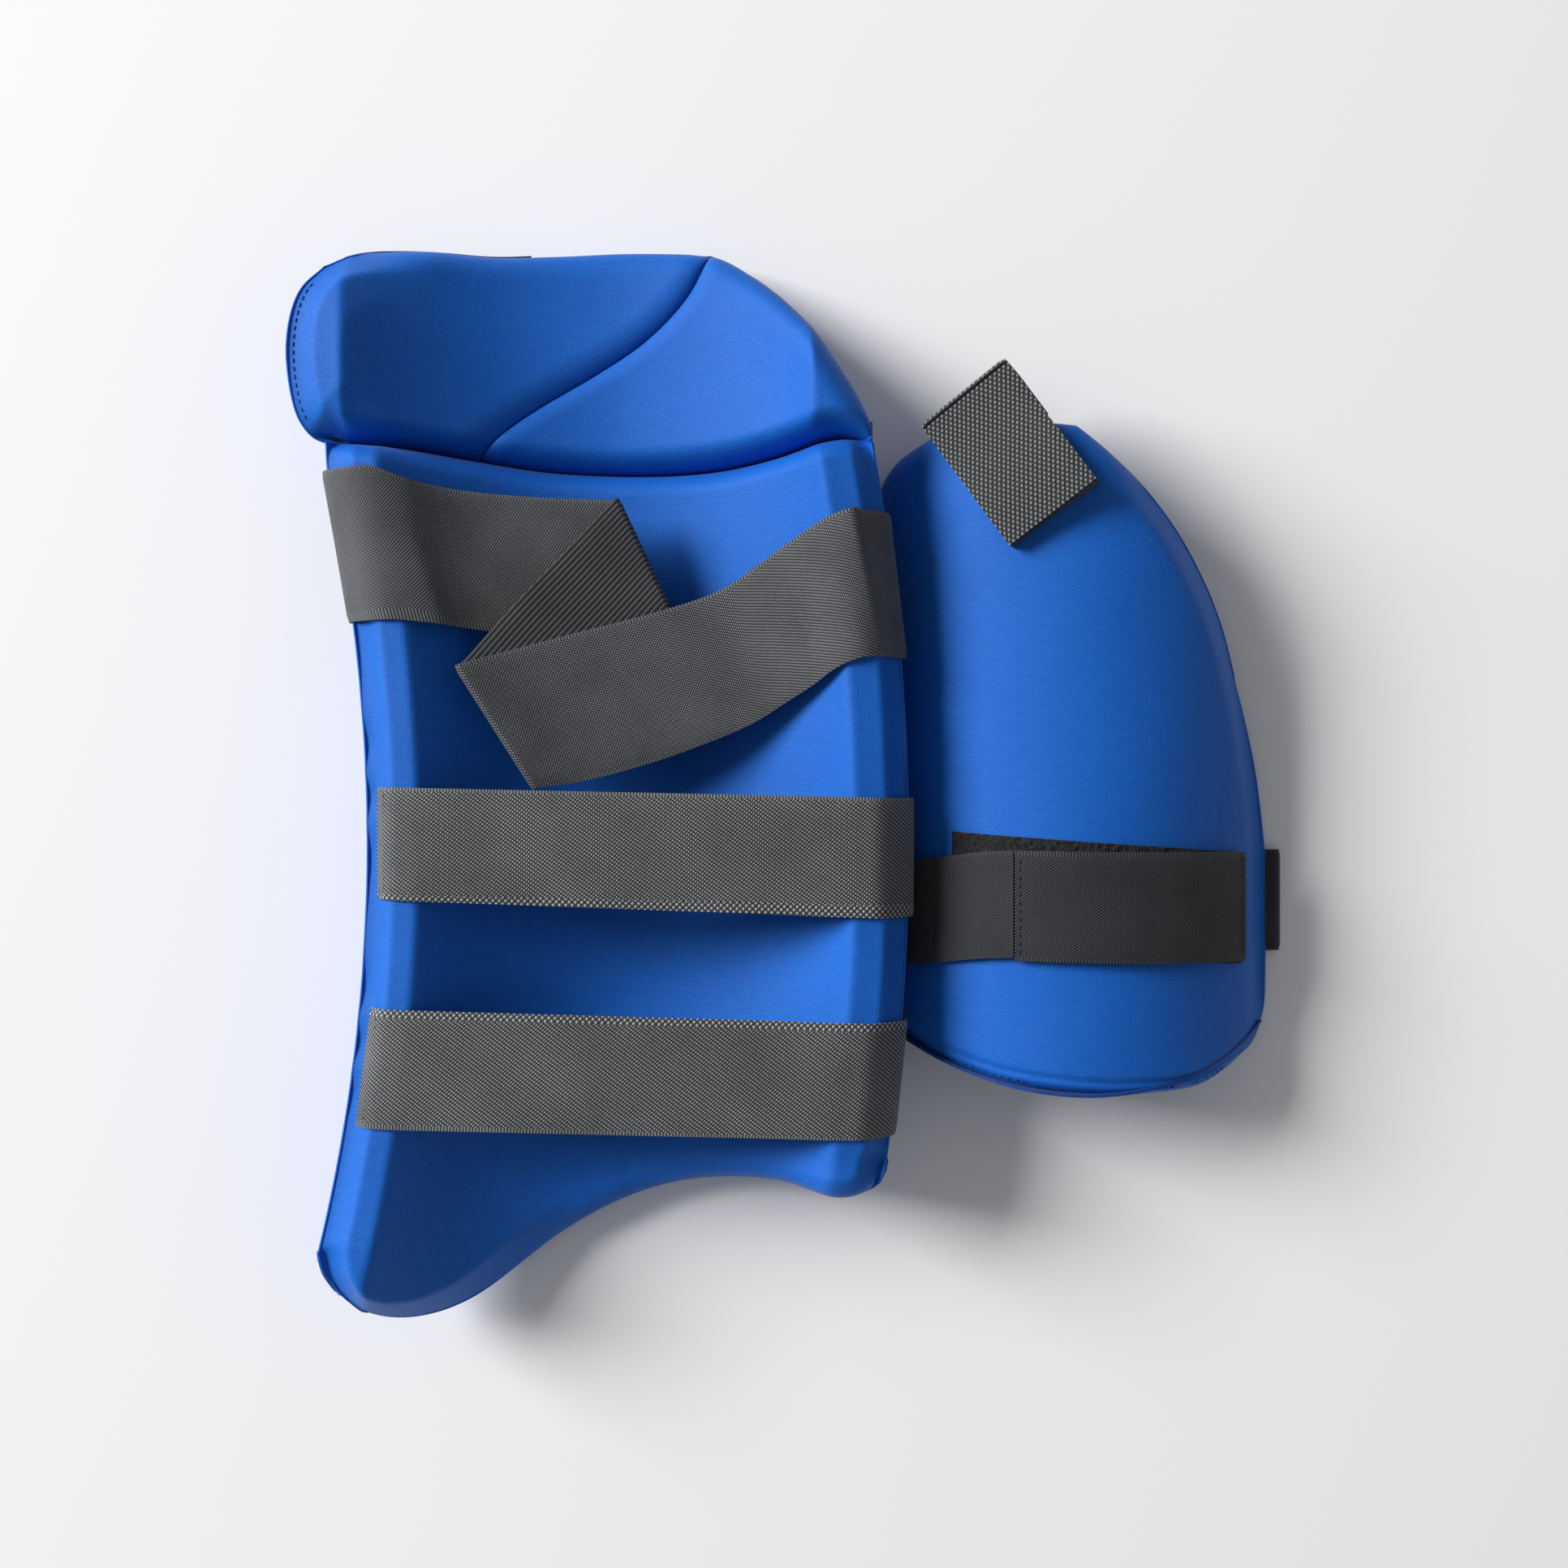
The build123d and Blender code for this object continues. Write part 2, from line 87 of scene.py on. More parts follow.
# Outlines in plan, each point once and shared by the pieces that meet there
VALLEY = [(-130.5, 143), (-122, 143.5), (-96, 143), (-72, 140.5), (-40, 137), (-5, 135.5), (30, 136.5),
          (56, 140), (79, 145), (90, 144.8), (97.5, 143)]
BODY_BOTTOM = [(-131.5, -196), (-129, -208), (-121, -220.5), (-110, -228), (-97, -230.3), (-82, -227.5),
               (-66, -219), (-38, -198), (-10, -182.5), (16, -174), (40, -170.8), (59, -170.3),
               (72, -172.3), (83, -173.8), (92, -172), (99, -166.5), (102, -157)]
FLAP_LEFT = [(-130.5, 143), (-136.5, 145), (-141, 150.5), (-143.8, 158), (-145.8, 170), (-146.4, 183),
             (-144.6, 197), (-140.5, 208), (-132.5, 217.5)]
FLAP_TOP = [(-132.5, 217.5), (-120, 224.5), (-105, 228), (-88, 229.5), (-66, 229.6), (-40, 231.5),
            (-12, 233), (10, 232.5), (30, 230.5)]
FLAP_SIDE = [(97.5, 143), (96.8, 150), (93.6, 158), (88, 169), (81, 180.6), (72, 193.5), (58.5, 209),
             (44, 221.5), (30, 230.5)]
FLAP_SEAM = [(-72, 140.5), (-58.6, 153), (-42.8, 164.6), (-20, 178.5), (1.6, 193), (19.6, 211), (30, 230.5)]
ARCH_LEFT = [(116, -112), (106.5, -105), (101.5, -93), (100.2, -70), (100.2, 20), (100.2, 105), (101.5, 121),
             (105.5, 134), (113, 143), (124, 149)]
ARCH_TOP = [(124, 149), (136, 151.3), (150, 152.2), (168, 152), (183, 150.5)]
ARCH_RIGHT = [(256, -121), (267.5, -113), (272.6, -101), (273.6, -80), (273.7, -40), (272.5, -22), (269, 4),
              (264, 27), (258, 48), (250, 70), (239.5, 90), (226, 110), (208, 130), (183, 150.5)]
ARCH_BOTTOM = [(116, -112), (130, -119), (154, -126), (187, -130), (215, -130.5), (238, -128.5), (256, -121)]


# ---------- geometry helpers ----------

def smooth_line(points, count, ends=0.0):
    """A smooth line through given points, as count points, closer together near its ends."""
    p = np.array(points, float)
    p = np.vstack([2 * p[0] - p[1], p, 2 * p[-1] - p[-2]])
    dense = []
    for k in range(1, len(p) - 2):
        t = np.linspace(0, 1, 24, endpoint=False)[:, None]
        a, b, c, d = p[k - 1], p[k], p[k + 1], p[k + 2]
        dense.append(0.5 * (2 * b + (c - a) * t + (2 * a - 5 * b + 4 * c - d) * t**2
                            + (3 * b - a - 3 * c + d) * t**3))
    dense = np.vstack(dense + [p[-2][None]])
    along = np.concatenate([[0], np.cumsum(np.linalg.norm(np.diff(dense, axis=0), axis=1))])
    t = np.linspace(0, 1, count)
    t = (1 - ends) * t + ends * (0.5 - 0.5 * np.cos(pi * t))
    return np.stack([np.interp(t * along[-1], along, dense[:, k]) for k in range(dense.shape[1])], axis=1)


def patch(bottom, right, top, left):
    """A grid of plan points between four boundary lines: rows run up, columns run across."""
    u = np.linspace(0, 1, len(bottom))[None, :, None]
    v = np.linspace(0, 1, len(left))[:, None, None]
    across = (1 - u) * left[:, None] + u * right[:, None]
    up = (1 - v) * bottom[None] + v * top[None]
    corners = ((1 - u) * (1 - v) * bottom[0] + u * (1 - v) * bottom[-1]
               + (1 - u) * v * top[0] + u * v * top[-1])
    return across + up - corners


def distance(grid, line):
    """How far each grid point is from a line, in plan."""
    points = grid.reshape(-1, 2)
    a, d = line[:-1], np.diff(line, axis=0)
    best = np.full(len(points), 1e9)
    for start, step in zip(a, d):
        t = np.clip(((points - start) @ step) / max(step @ step, 1e-9), 0, 1)[:, None]
        best = np.minimum(best, np.linalg.norm(points - start - t * step, axis=1))
    return best.reshape(grid.shape[:2])


def rounded(d, width, power=2.2):
    """A pad's edge: 0 on the edge, 1 from width inwards, round between."""
    t = np.clip(d / width, 0, 1)
    return (1 - (1 - t) ** power) ** (1 / power)


def bevelled(d, first, second, share=0.8):
    """A rim of two strips: a steep outer one, then a nearly flat one."""
    return np.interp(d, [0, first, first + second], [0, share, 1])


def smooth_step(value, low, high):
    """0 below low, 1 above high, smooth between."""
    t = np.clip((value - low) / (high - low), 0, 1)
    return t * t * (3 - 2 * t)


def soften(z, times=2):
    """Rounds the creases of a height grid a little and keeps its border."""
    z = z.copy()
    for _ in range(times):
        inner = (z[1:-1, 1:-1] * 4 + z[:-2, 1:-1] + z[2:, 1:-1] + z[1:-1, :-2] + z[1:-1, 2:]) / 8
        z[1:-1, 1:-1] = inner
    return z


def make_object(name, verts, faces, uvs=None, materials=(), face_materials=None, crisp=None):
    """A mesh object in metres from millimetre points. Edges between crisp points are sharp."""
    mesh = bpy.data.meshes.new(name)
    mesh.from_pydata((np.asarray(verts) * MM).tolist(), [], [list(map(int, f)) for f in faces])
    if uvs is not None:
        layer = mesh.uv_layers.new(name="UVMap")
        loops = np.zeros(len(mesh.loops), int)
        mesh.loops.foreach_get("vertex_index", loops)
        layer.data.foreach_set("uv", np.asarray(uvs, float)[loops].astype(np.float32).ravel())
    for material in materials:
        mesh.materials.append(material)
    if face_materials is not None:
        mesh.polygons.foreach_set("material_index", np.asarray(face_materials, np.int32))
    mesh.polygons.foreach_set("use_smooth", [True] * len(mesh.polygons))
    mesh.update()
    if crisp is not None:
        on_rim = np.zeros(len(verts), bool)
        on_rim[crisp] = True
        pairs = np.zeros(2 * len(mesh.edges), int)
        mesh.edges.foreach_get("vertices", pairs)
        sharp = on_rim[pairs.reshape(-1, 2)].all(axis=1)
        mesh.attributes.new("sharp_edge", "BOOLEAN", "EDGE").data.foreach_set("value", sharp)
    obj = bpy.data.objects.new(name, mesh)
    bpy.context.scene.collection.objects.link(obj)
    return obj


def grid_faces(rows, columns, start=0, flip=False):
    """The quads of a grid of points."""
    k = start + np.arange(rows - 1)[:, None] * columns + np.arange(columns - 1)[None]
    quads = np.stack([k, k + 1, k + columns + 1, k + columns], axis=-1).reshape(-1, 4)
    return quads[:, ::-1] if flip else quads


def rim_faces(rows, columns):
    """Joins the borders of two grids of the same size, the second straight after the first."""
    ring = ([(0, c) for c in range(columns)] + [(r, columns - 1) for r in range(1, rows)]
            + [(rows - 1, c) for c in range(columns - 2, -1, -1)] + [(r, 0) for r in range(rows - 2, 0, -1)])
    ids = np.array([r * columns + c for r, c in ring])
    following = np.roll(ids, -1)
    count = rows * columns
    return np.stack([ids + count, following + count, following, ids], axis=1)


def closed_pad(name, grid, high, low, material):
    """A closed solid between two height grids over one plan grid."""
    rows, columns = high.shape
    top = np.dstack([grid, high]).reshape(-1, 3)
    base = np.dstack([grid, low]).reshape(-1, 3)
    count = rows * columns
    faces = np.vstack([grid_faces(rows, columns), grid_faces(rows, columns, count, flip=True),
                       rim_faces(rows, columns)])
    return make_object(name, np.vstack([top, base]), faces, materials=[material])


def normals_of(points):
    """Unit normals of a grid of points, to the side that the rows and columns turn to."""
    du = np.gradient(points, axis=1)
    dv = np.gradient(points, axis=0)
    n = np.cross(du, dv)
    return n / np.maximum(np.linalg.norm(n, axis=2, keepdims=True), 1e-9)


def fabric_face(name, grid, z, thickness, inside, material):
    """A fabric face: a height grid as a thin closed shell, whose other side is up (+1) or down (-1)."""
    points = np.dstack([grid, z])
    shift = normals_of(points)
    steep = np.abs(shift[..., 2:3]) < 0.25
    shift = np.where(steep, np.array([0.0, 0.0, 1.0]), shift * np.sign(shift[..., 2:3] + 1e-9)) * inside
    inner = points + shift * thickness
    rows, columns = z.shape
    count = rows * columns
    flip = inside > 0
    faces = [grid_faces(rows, columns, flip=flip), grid_faces(rows, columns, count, flip=not flip)]
    rim = rim_faces(rows, columns)
    faces.append(rim[:, ::-1] if flip else rim)
    verts = np.vstack([points.reshape(-1, 3), inner.reshape(-1, 3)])
    return make_object(name, verts, np.vstack(faces), materials=[material], crisp=np.unique(rim))


def ribbon(name, first, second, thickness, materials, columns=17, u_start=0.0, crown=0.0):
    """A strap between its two selvage lines, as a closed band with rounded edges.
    materials are for the side that the lines turn to, and for the other side."""
    first, second = np.asarray(first, float), np.asarray(second, float)
    rows = len(first)
    across = np.linspace(0, 1, columns)
    middle = first[:, None] * (1 - across[None, :, None]) + second[:, None] * across[None, :, None]
    n = normals_of(middle)
    edge = np.minimum(across, 1 - across) * (columns - 1)
    half = thickness / 2 * np.where(edge < 0.5, 0.45, 1.0)[None, :, None]
    middle = middle + n * (crown * np.sin(across * pi))[None, :, None]
    top, low = middle + n * half, middle - n * half
    centre = middle[:, columns // 2]
    along = np.concatenate([[0], np.cumsum(np.linalg.norm(np.diff(centre, axis=0), axis=1))]) + u_start
    width = np.linalg.norm(second - first, axis=1)
    uv = np.dstack([np.repeat(along[:, None], columns, 1), width[:, None] * across[None]]).reshape(-1, 2) * MM
    count = rows * columns
    up = grid_faces(rows, columns)
    down = grid_faces(rows, columns, count, flip=True)
    rim = rim_faces(rows, columns)
    index = [0] * len(up) + [1] * len(down) + [0] * len(rim)
    verts = np.vstack([top.reshape(-1, 3), low.reshape(-1, 3)])
    faces = np.vstack([up, down, rim])
    obj = make_object(name, verts, faces, np.vstack([uv, uv]), materials, index, crisp=np.unique(rim))
    obj["length_mm"] = float(along[-1] - u_start)
    return obj


# ---------- materials ----------

def material(name, colour, roughness, sheen=0.0, sheen_tint=(1, 1, 1), sheen_roughness=0.5):
    m = bpy.data.materials.new(name)
    m.use_nodes = True
    shader = m.node_tree.nodes["Principled BSDF"]
    shader.inputs["Base Color"].default_value = (*colour, 1)
    shader.inputs["Roughness"].default_value = roughness
    shader.inputs["Sheen Weight"].default_value = sheen
    shader.inputs["Sheen Tint"].default_value = (*sheen_tint, 1)
    shader.inputs["Sheen Roughness"].default_value = sheen_roughness
    shader.inputs["Specular IOR Level"].default_value = 0.3
    return m, m.node_tree, shader


def add(tree, kind, **values):
    node = tree.nodes.new(kind)
    for key, value in values.items():
        if hasattr(node, key):
            setattr(node, key, value)
        else:
            node.inputs[key.replace("_", " ")].default_value = value
    return node


def math_node(tree, operation, a, b=None):
    node = tree.nodes.new("ShaderNodeMath")
    node.operation = operation
    for k, value in enumerate((a, b)):
        if value is None:
            continue
        if isinstance(value, (int, float)):
            node.inputs[k].default_value = value
        else:
            tree.links.new(value, node.inputs[k])
    return node.outputs[0]


def mix_colour(tree, factor, a, b):
    node = tree.nodes.new("ShaderNodeMix")
    node.data_type = "RGBA"
    tree.links.new(factor, node.inputs[0])
    for socket, value in ((node.inputs[6], a), (node.inputs[7], b)):
        if isinstance(value, tuple):
            socket.default_value = (*value, 1)
        else:
            tree.links.new(value, socket)
    return node.outputs[2]


def bump(tree, shader, height, strength, depth):
    node = tree.nodes.new("ShaderNodeBump")
    node.inputs["Strength"].default_value = strength
    node.inputs["Distance"].default_value = depth
    tree.links.new(height, node.inputs["Height"])
    tree.links.new(node.outputs[0], shader.inputs["Normal"])


def knit_fabric(name, colour, deep, thread=0.0009):
    """Stretch knit: fine crossed ribs, soft tone changes and a pale nap at grazing angles."""
    m, tree, shader = material(name, colour, 0.62, 0.12, (0.6, 0.8, 1.0), 0.3)
    place = add(tree, "ShaderNodeTexCoord")
    ribs = []
    for turn in (0.6, -0.6):
        turned = add(tree, "ShaderNodeMapping")
        turned.inputs["Rotation"].default_value = (0, 0, turn)
        tree.links.new(place.outputs["Object"], turned.inputs["Vector"])
        wave = add(tree, "ShaderNodeTexWave", Scale=1 / (thread * 2 * pi) * 2)
        tree.links.new(turned.outputs[0], wave.inputs["Vector"])
        ribs.append(wave.outputs["Fac"])
    weave = math_node(tree, "MULTIPLY", ribs[0], ribs[1])
    soft = add(tree, "ShaderNodeTexNoise", Scale=18.0, Detail=3.0)
    fine = add(tree, "ShaderNodeTexNoise", Scale=900.0, Detail=2.0)
    for node in (soft, fine):
        tree.links.new(place.outputs["Object"], node.inputs["Vector"])
    streaks = add(tree, "ShaderNodeTexNoise", Scale=420.0, Detail=3.0)
    stretched = add(tree, "ShaderNodeMapping")
    stretched.inputs["Scale"].default_value = (0.35, 2.2, 1)
    tree.links.new(place.outputs["Object"], stretched.inputs["Vector"])
    tree.links.new(stretched.outputs[0], streaks.inputs["Vector"])
    tone = math_node(tree, "ADD", math_node(tree, "MULTIPLY", soft.outputs["Fac"], 0.5),
                     math_node(tree, "MULTIPLY", streaks.outputs["Fac"], 0.8))
    tone = math_node(tree, "ADD", tone, -0.25)
    tone = math_node(tree, "ADD", tone, math_node(tree, "MULTIPLY", weave, 0.2))
    tree.links.new(mix_colour(tree, tone, deep, colour), shader.inputs["Base Color"])
    height = math_node(tree, "ADD", weave, fine.outputs["Fac"])
    bump(tree, shader, math_node(tree, "ADD", height, streaks.outputs["Fac"]), 0.35, 0.0004)
    return m


def uv_axes(tree):
    """A strap's length and width coordinates, in metres."""
    place = add(tree, "ShaderNodeTexCoord")
    split = add(tree, "ShaderNodeSeparateXYZ")
    tree.links.new(place.outputs["UV"], split.inputs[0])
    return split.outputs[0], split.outputs[1]


def sine(tree, value, period, phase=0.0):
    """0 to 1 along a value given in metres."""
    turned = math_node(tree, "ADD", math_node(tree, "MULTIPLY", value, 2 * pi / period), phase)
    return math_node(tree, "ADD", math_node(tree, "MULTIPLY", math_node(tree, "SINE", turned), 0.5), 0.5)


def lattice(tree, u, v, along, across):
    """Staggered dots, 0 to 1, on a lattice given by its two spacings."""
    a = math_node(tree, "MULTIPLY", u, 1 / along)
    b = math_node(tree, "MULTIPLY", v, 1 / across)
    left = sine(tree, math_node(tree, "ADD", a, b), 1.0)
    right = sine(tree, math_node(tree, "SUBTRACT", a, b), 1.0)
    return math_node(tree, "MULTIPLY", left, right)


def woven_elastic(name, width, colour, light, along=0.0019, across=0.0017, checked=(), ribbed=False):
    """Woven elastic: a speckled twill, lengthwise ribs on its back, and selvages, checked where listed."""
    m, tree, shader = material(name, colour, 0.72, 0.15, (0.85, 0.9, 1.0), 0.4)
    u, v = uv_axes(tree)
    place = add(tree, "ShaderNodeTexCoord")
    grain = add(tree, "ShaderNodeTexNoise", Scale=620.0, Detail=2.0)
    patchy = add(tree, "ShaderNodeTexNoise", Scale=40.0, Detail=2.0)
    for node in (grain, patchy):
        tree.links.new(place.outputs["Object"], node.inputs["Vector"])
    if ribbed:
        ribs, cross = sine(tree, v, 0.0021), sine(tree, u, 0.0011)
        softened = math_node(tree, "ADD", math_node(tree, "MULTIPLY", cross, 0.35), 0.65)
        pattern = math_node(tree, "MULTIPLY", ribs, softened)
    else:
        slant = math_node(tree, "ADD", v, math_node(tree, "MULTIPLY", u, 0.22))
        dots = lattice(tree, u, slant, along, across)
        pattern = math_node(tree, "MULTIPLY", dots, math_node(tree, "ADD", grain.outputs["Fac"], 0.55))
        for side in ("low", "high"):
            near = v if side == "low" else math_node(tree, "SUBTRACT", width, v)
            reach = 0.0034 if side in checked else 0.0014
            band = math_node(tree, "LESS_THAN", near, reach)
            if side in checked:
                edge = math_node(tree, "MULTIPLY", lattice(tree, u, v, 0.0026, 0.0026), 1.7)
            else:
                edge = math_node(tree, "MULTIPLY", sine(tree, u, 0.0013), 0.55)
            plain = math_node(tree, "MULTIPLY", pattern, math_node(tree, "SUBTRACT", 1.0, band))
            pattern = math_node(tree, "ADD", plain, math_node(tree, "MULTIPLY", edge, band))
    tone = math_node(tree, "MULTIPLY", pattern, math_node(tree, "ADD", patchy.outputs["Fac"], 0.55))
    tree.links.new(mix_colour(tree, tone, colour, light), shader.inputs["Base Color"])
    bump(tree, shader, pattern, 0.6, 0.0004)
    return m


def pile(name, colour, light, scale, depth):
    """Hook or loop tape: a rough pile of tiny tufts."""
    m, tree, shader = material(name, colour, 0.85, 0.3, (0.7, 0.7, 0.75), 0.4)
    place = add(tree, "ShaderNodeTexCoord")
    tufts = add(tree, "ShaderNodeTexVoronoi", Scale=scale)
    fuzz = add(tree, "ShaderNodeTexNoise", Scale=scale * 1.7, Detail=3.0)
    for node in (tufts, fuzz):
        tree.links.new(place.outputs["Object"], node.inputs["Vector"])
    tone = math_node(tree, "MULTIPLY", tufts.outputs["Distance"], fuzz.outputs["Fac"])
    tree.links.new(mix_colour(tree, tone, colour, light), shader.inputs["Base Color"])
    bump(tree, shader, math_node(tree, "ADD", tufts.outputs["Distance"], fuzz.outputs["Fac"]), 0.8, depth)
    return m


def foam_material(name, colour):
    m, tree, shader = material(name, colour, 0.9)
    place = add(tree, "ShaderNodeTexCoord")
    cells = add(tree, "ShaderNodeTexVoronoi", Scale=650.0)
    tree.links.new(place.outputs["Object"], cells.inputs["Vector"])
    darker = tuple(0.6 * c for c in colour)
    tree.links.new(mix_colour(tree, cells.outputs["Distance"], darker, colour), shader.inputs["Base Color"])
    bump(tree, shader, cells.outputs["Distance"], 0.5, 0.0006)
    return m


def coarse_webbing(name):
    """Basket-woven webbing: staggered pale dots on a dark ground."""
    m, tree, shader = material(name, (0.02, 0.022, 0.026), 0.65, 0.2, (0.9, 0.95, 1.0), 0.5)
    u, v = uv_axes(tree)
    dots = lattice(tree, u, v, 0.0032, 0.0023)
    edge = math_node(tree, "POWER", dots, 0.8)
    grain = add(tree, "ShaderNodeTexNoise", Scale=900.0, Detail=2.0)
    place = add(tree, "ShaderNodeTexCoord")
    tree.links.new(place.outputs["Object"], grain.inputs["Vector"])
    tone = math_node(tree, "MULTIPLY", edge, math_node(tree, "ADD", grain.outputs["Fac"], 0.5))
    colour = mix_colour(tree, tone, (0.012, 0.014, 0.017), (0.34, 0.35, 0.345))
    tree.links.new(colour, shader.inputs["Base Color"])
    bump(tree, shader, edge, 0.9, 0.0012)
    return m


BLUE = knit_fabric("blue_knit", (0.004, 0.15, 0.66), (0.002, 0.095, 0.45))
BLUE_BACK = knit_fabric("blue_knit_back", (0.005, 0.14, 0.66), (0.003, 0.09, 0.47))
# A darker copy of the blue knit for the edge gusset: painted shade on its side wall.
SHADED_GUSSET = knit_fabric("blue_gusset_painted_shade", (0.004, 0.06, 0.34), (0.002, 0.035, 0.2))
# Near-black slate knit: painted shadow, used for the strip behind the hip flap's top edge.
SHADOW_SLATE = knit_fabric("slate_painted_shadow", (0.010, 0.022, 0.038), (0.005, 0.012, 0.022))
DENSE_FOAM = foam_material("dense_foam", (0.05, 0.05, 0.055))
SOFT_FOAM = foam_material("soft_foam", (0.6, 0.6, 0.57))
DARK = (0.014, 0.015, 0.018)
GREY = (0.40, 0.405, 0.41)
MID_GREY = (0.30, 0.31, 0.325)
RIB_DARK = (0.010, 0.011, 0.013)
FACE_63 = woven_elastic("elastic_face_wide", 0.062, DARK, MID_GREY, 0.0015, 0.0013)
BACK_63 = woven_elastic("elastic_back_wide", 0.062, RIB_DARK, (0.10, 0.105, 0.11), ribbed=True)
FACE_MID = woven_elastic("elastic_face_mid", 0.0475, DARK, GREY, checked=("high",))
FACE_LOW = woven_elastic("elastic_face_low", 0.0485, DARK, GREY, checked=("low",))
BACK_48 = woven_elastic("elastic_back", 0.0485, RIB_DARK, (0.09, 0.095, 0.1), ribbed=True)
BACK_45 = woven_elastic("elastic_back_narrow", 0.045, (0.004, 0.005, 0.007), (0.03, 0.032, 0.037),
                        ribbed=True)
FACE_45 = woven_elastic("elastic_face_narrow", 0.045, (0.006, 0.007, 0.009), (0.11, 0.113, 0.125),
                        0.0015, 0.0013)
THREAD = material("thread", (0.02, 0.021, 0.024), 0.5)[0]
BLUE_THREAD = material("blue_thread", (0.006, 0.06, 0.3), 0.5)[0]
HOOK = pile("hook_tape", (0.006, 0.006, 0.007), (0.06, 0.06, 0.065), 900.0, 0.0005)
LOOP = pile("loop_tape", (0.004, 0.004, 0.005), (0.04, 0.042, 0.046), 420.0, 0.0012)
WEBBING = coarse_webbing("webbing")


# ---------- shared shapes ----------

def bent_x(across, y):
    """Where a line at a distance across the trough passes y."""
    return np.sqrt((BEND_RADIUS + across) ** 2 - (y - BEND_Y) ** 2) - BEND_RADIUS


def across_of(grid):
    """Distance across the trough from its centreline."""
    return np.hypot(grid[..., 0] + BEND_RADIUS, grid[..., 1] - BEND_Y) - BEND_RADIUS


def arc_height(across, radius, flat=0.0):
    """Height of a round wall over its flat base."""
    reach = np.minimum(np.maximum(np.abs(across) - flat, 0), radius * 0.999)
    return radius - np.sqrt(radius**2 - reach**2)


def two_faces(outside, inside, shape, seam):
    """Turns full heights and an edge shape, 0 to 1, into the two faces' heights."""
    middle = outside + seam * (inside - outside)
    high = middle + (inside - middle) * shape
    low = middle - (middle - outside) * shape
    return soften(high), soften(low, 1)


def ripple(grid, size, seed):
    """A few long, low waves, as hand-laid foam has."""
    x, y = grid[..., 0], grid[..., 1]
    rng = np.random.default_rng(seed)
    total = np.zeros(x.shape)
    for _ in range(6):
        angle, length, phase = rng.uniform(0, pi), rng.uniform(45, 110), rng.uniform(0, 2 * pi)
        total += np.sin((x * cos(angle) + y * sin(angle)) * 2 * pi / length + phase)
    return total * size / 6


def inset_faces(high, low, rows, columns):
    """The heights of a foam's faces, clear of both fabrics, away from the pad's edges."""
    high, low = high[rows:-rows, columns:-columns], low[rows:-rows, columns:-columns]
    step = np.minimum(1.8, 0.32 * (high - low))
    return high - step, low + step


def foam(name, grid, high, low, look, body, node):
    """One foam layer that stands for a CAD node."""
    piece = closed_pad(name, grid, high, low, look)
    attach(piece, body)
    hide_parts(node)


def foams(body, grid, high, low, keep, names, nodes):
    """The two foam layers inside a pad, from its faces' heights, away from its edges."""
    rows, columns = keep
    inner = grid[rows:-rows, columns:-columns]
    top, base = inset_faces(high, low, rows, columns)
    middle = base + 0.45 * (top - base)
    layers = ((middle - FOAM_GAP, base, DENSE_FOAM), (top, middle + FOAM_GAP, SOFT_FOAM))
    for name, node, (upper, lower, look) in zip(names, nodes, layers):
        foam(name, inner, upper, lower, look, body, node)


def cover(name, grid, z, inside, body, nodes, fabric):
    """A fabric face that stands for CAD nodes."""
    piece = fabric_face(name, grid, z, FABRIC, inside, fabric)
    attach(piece, body)
    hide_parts(*nodes)


# ---------- outer guard: body ----------

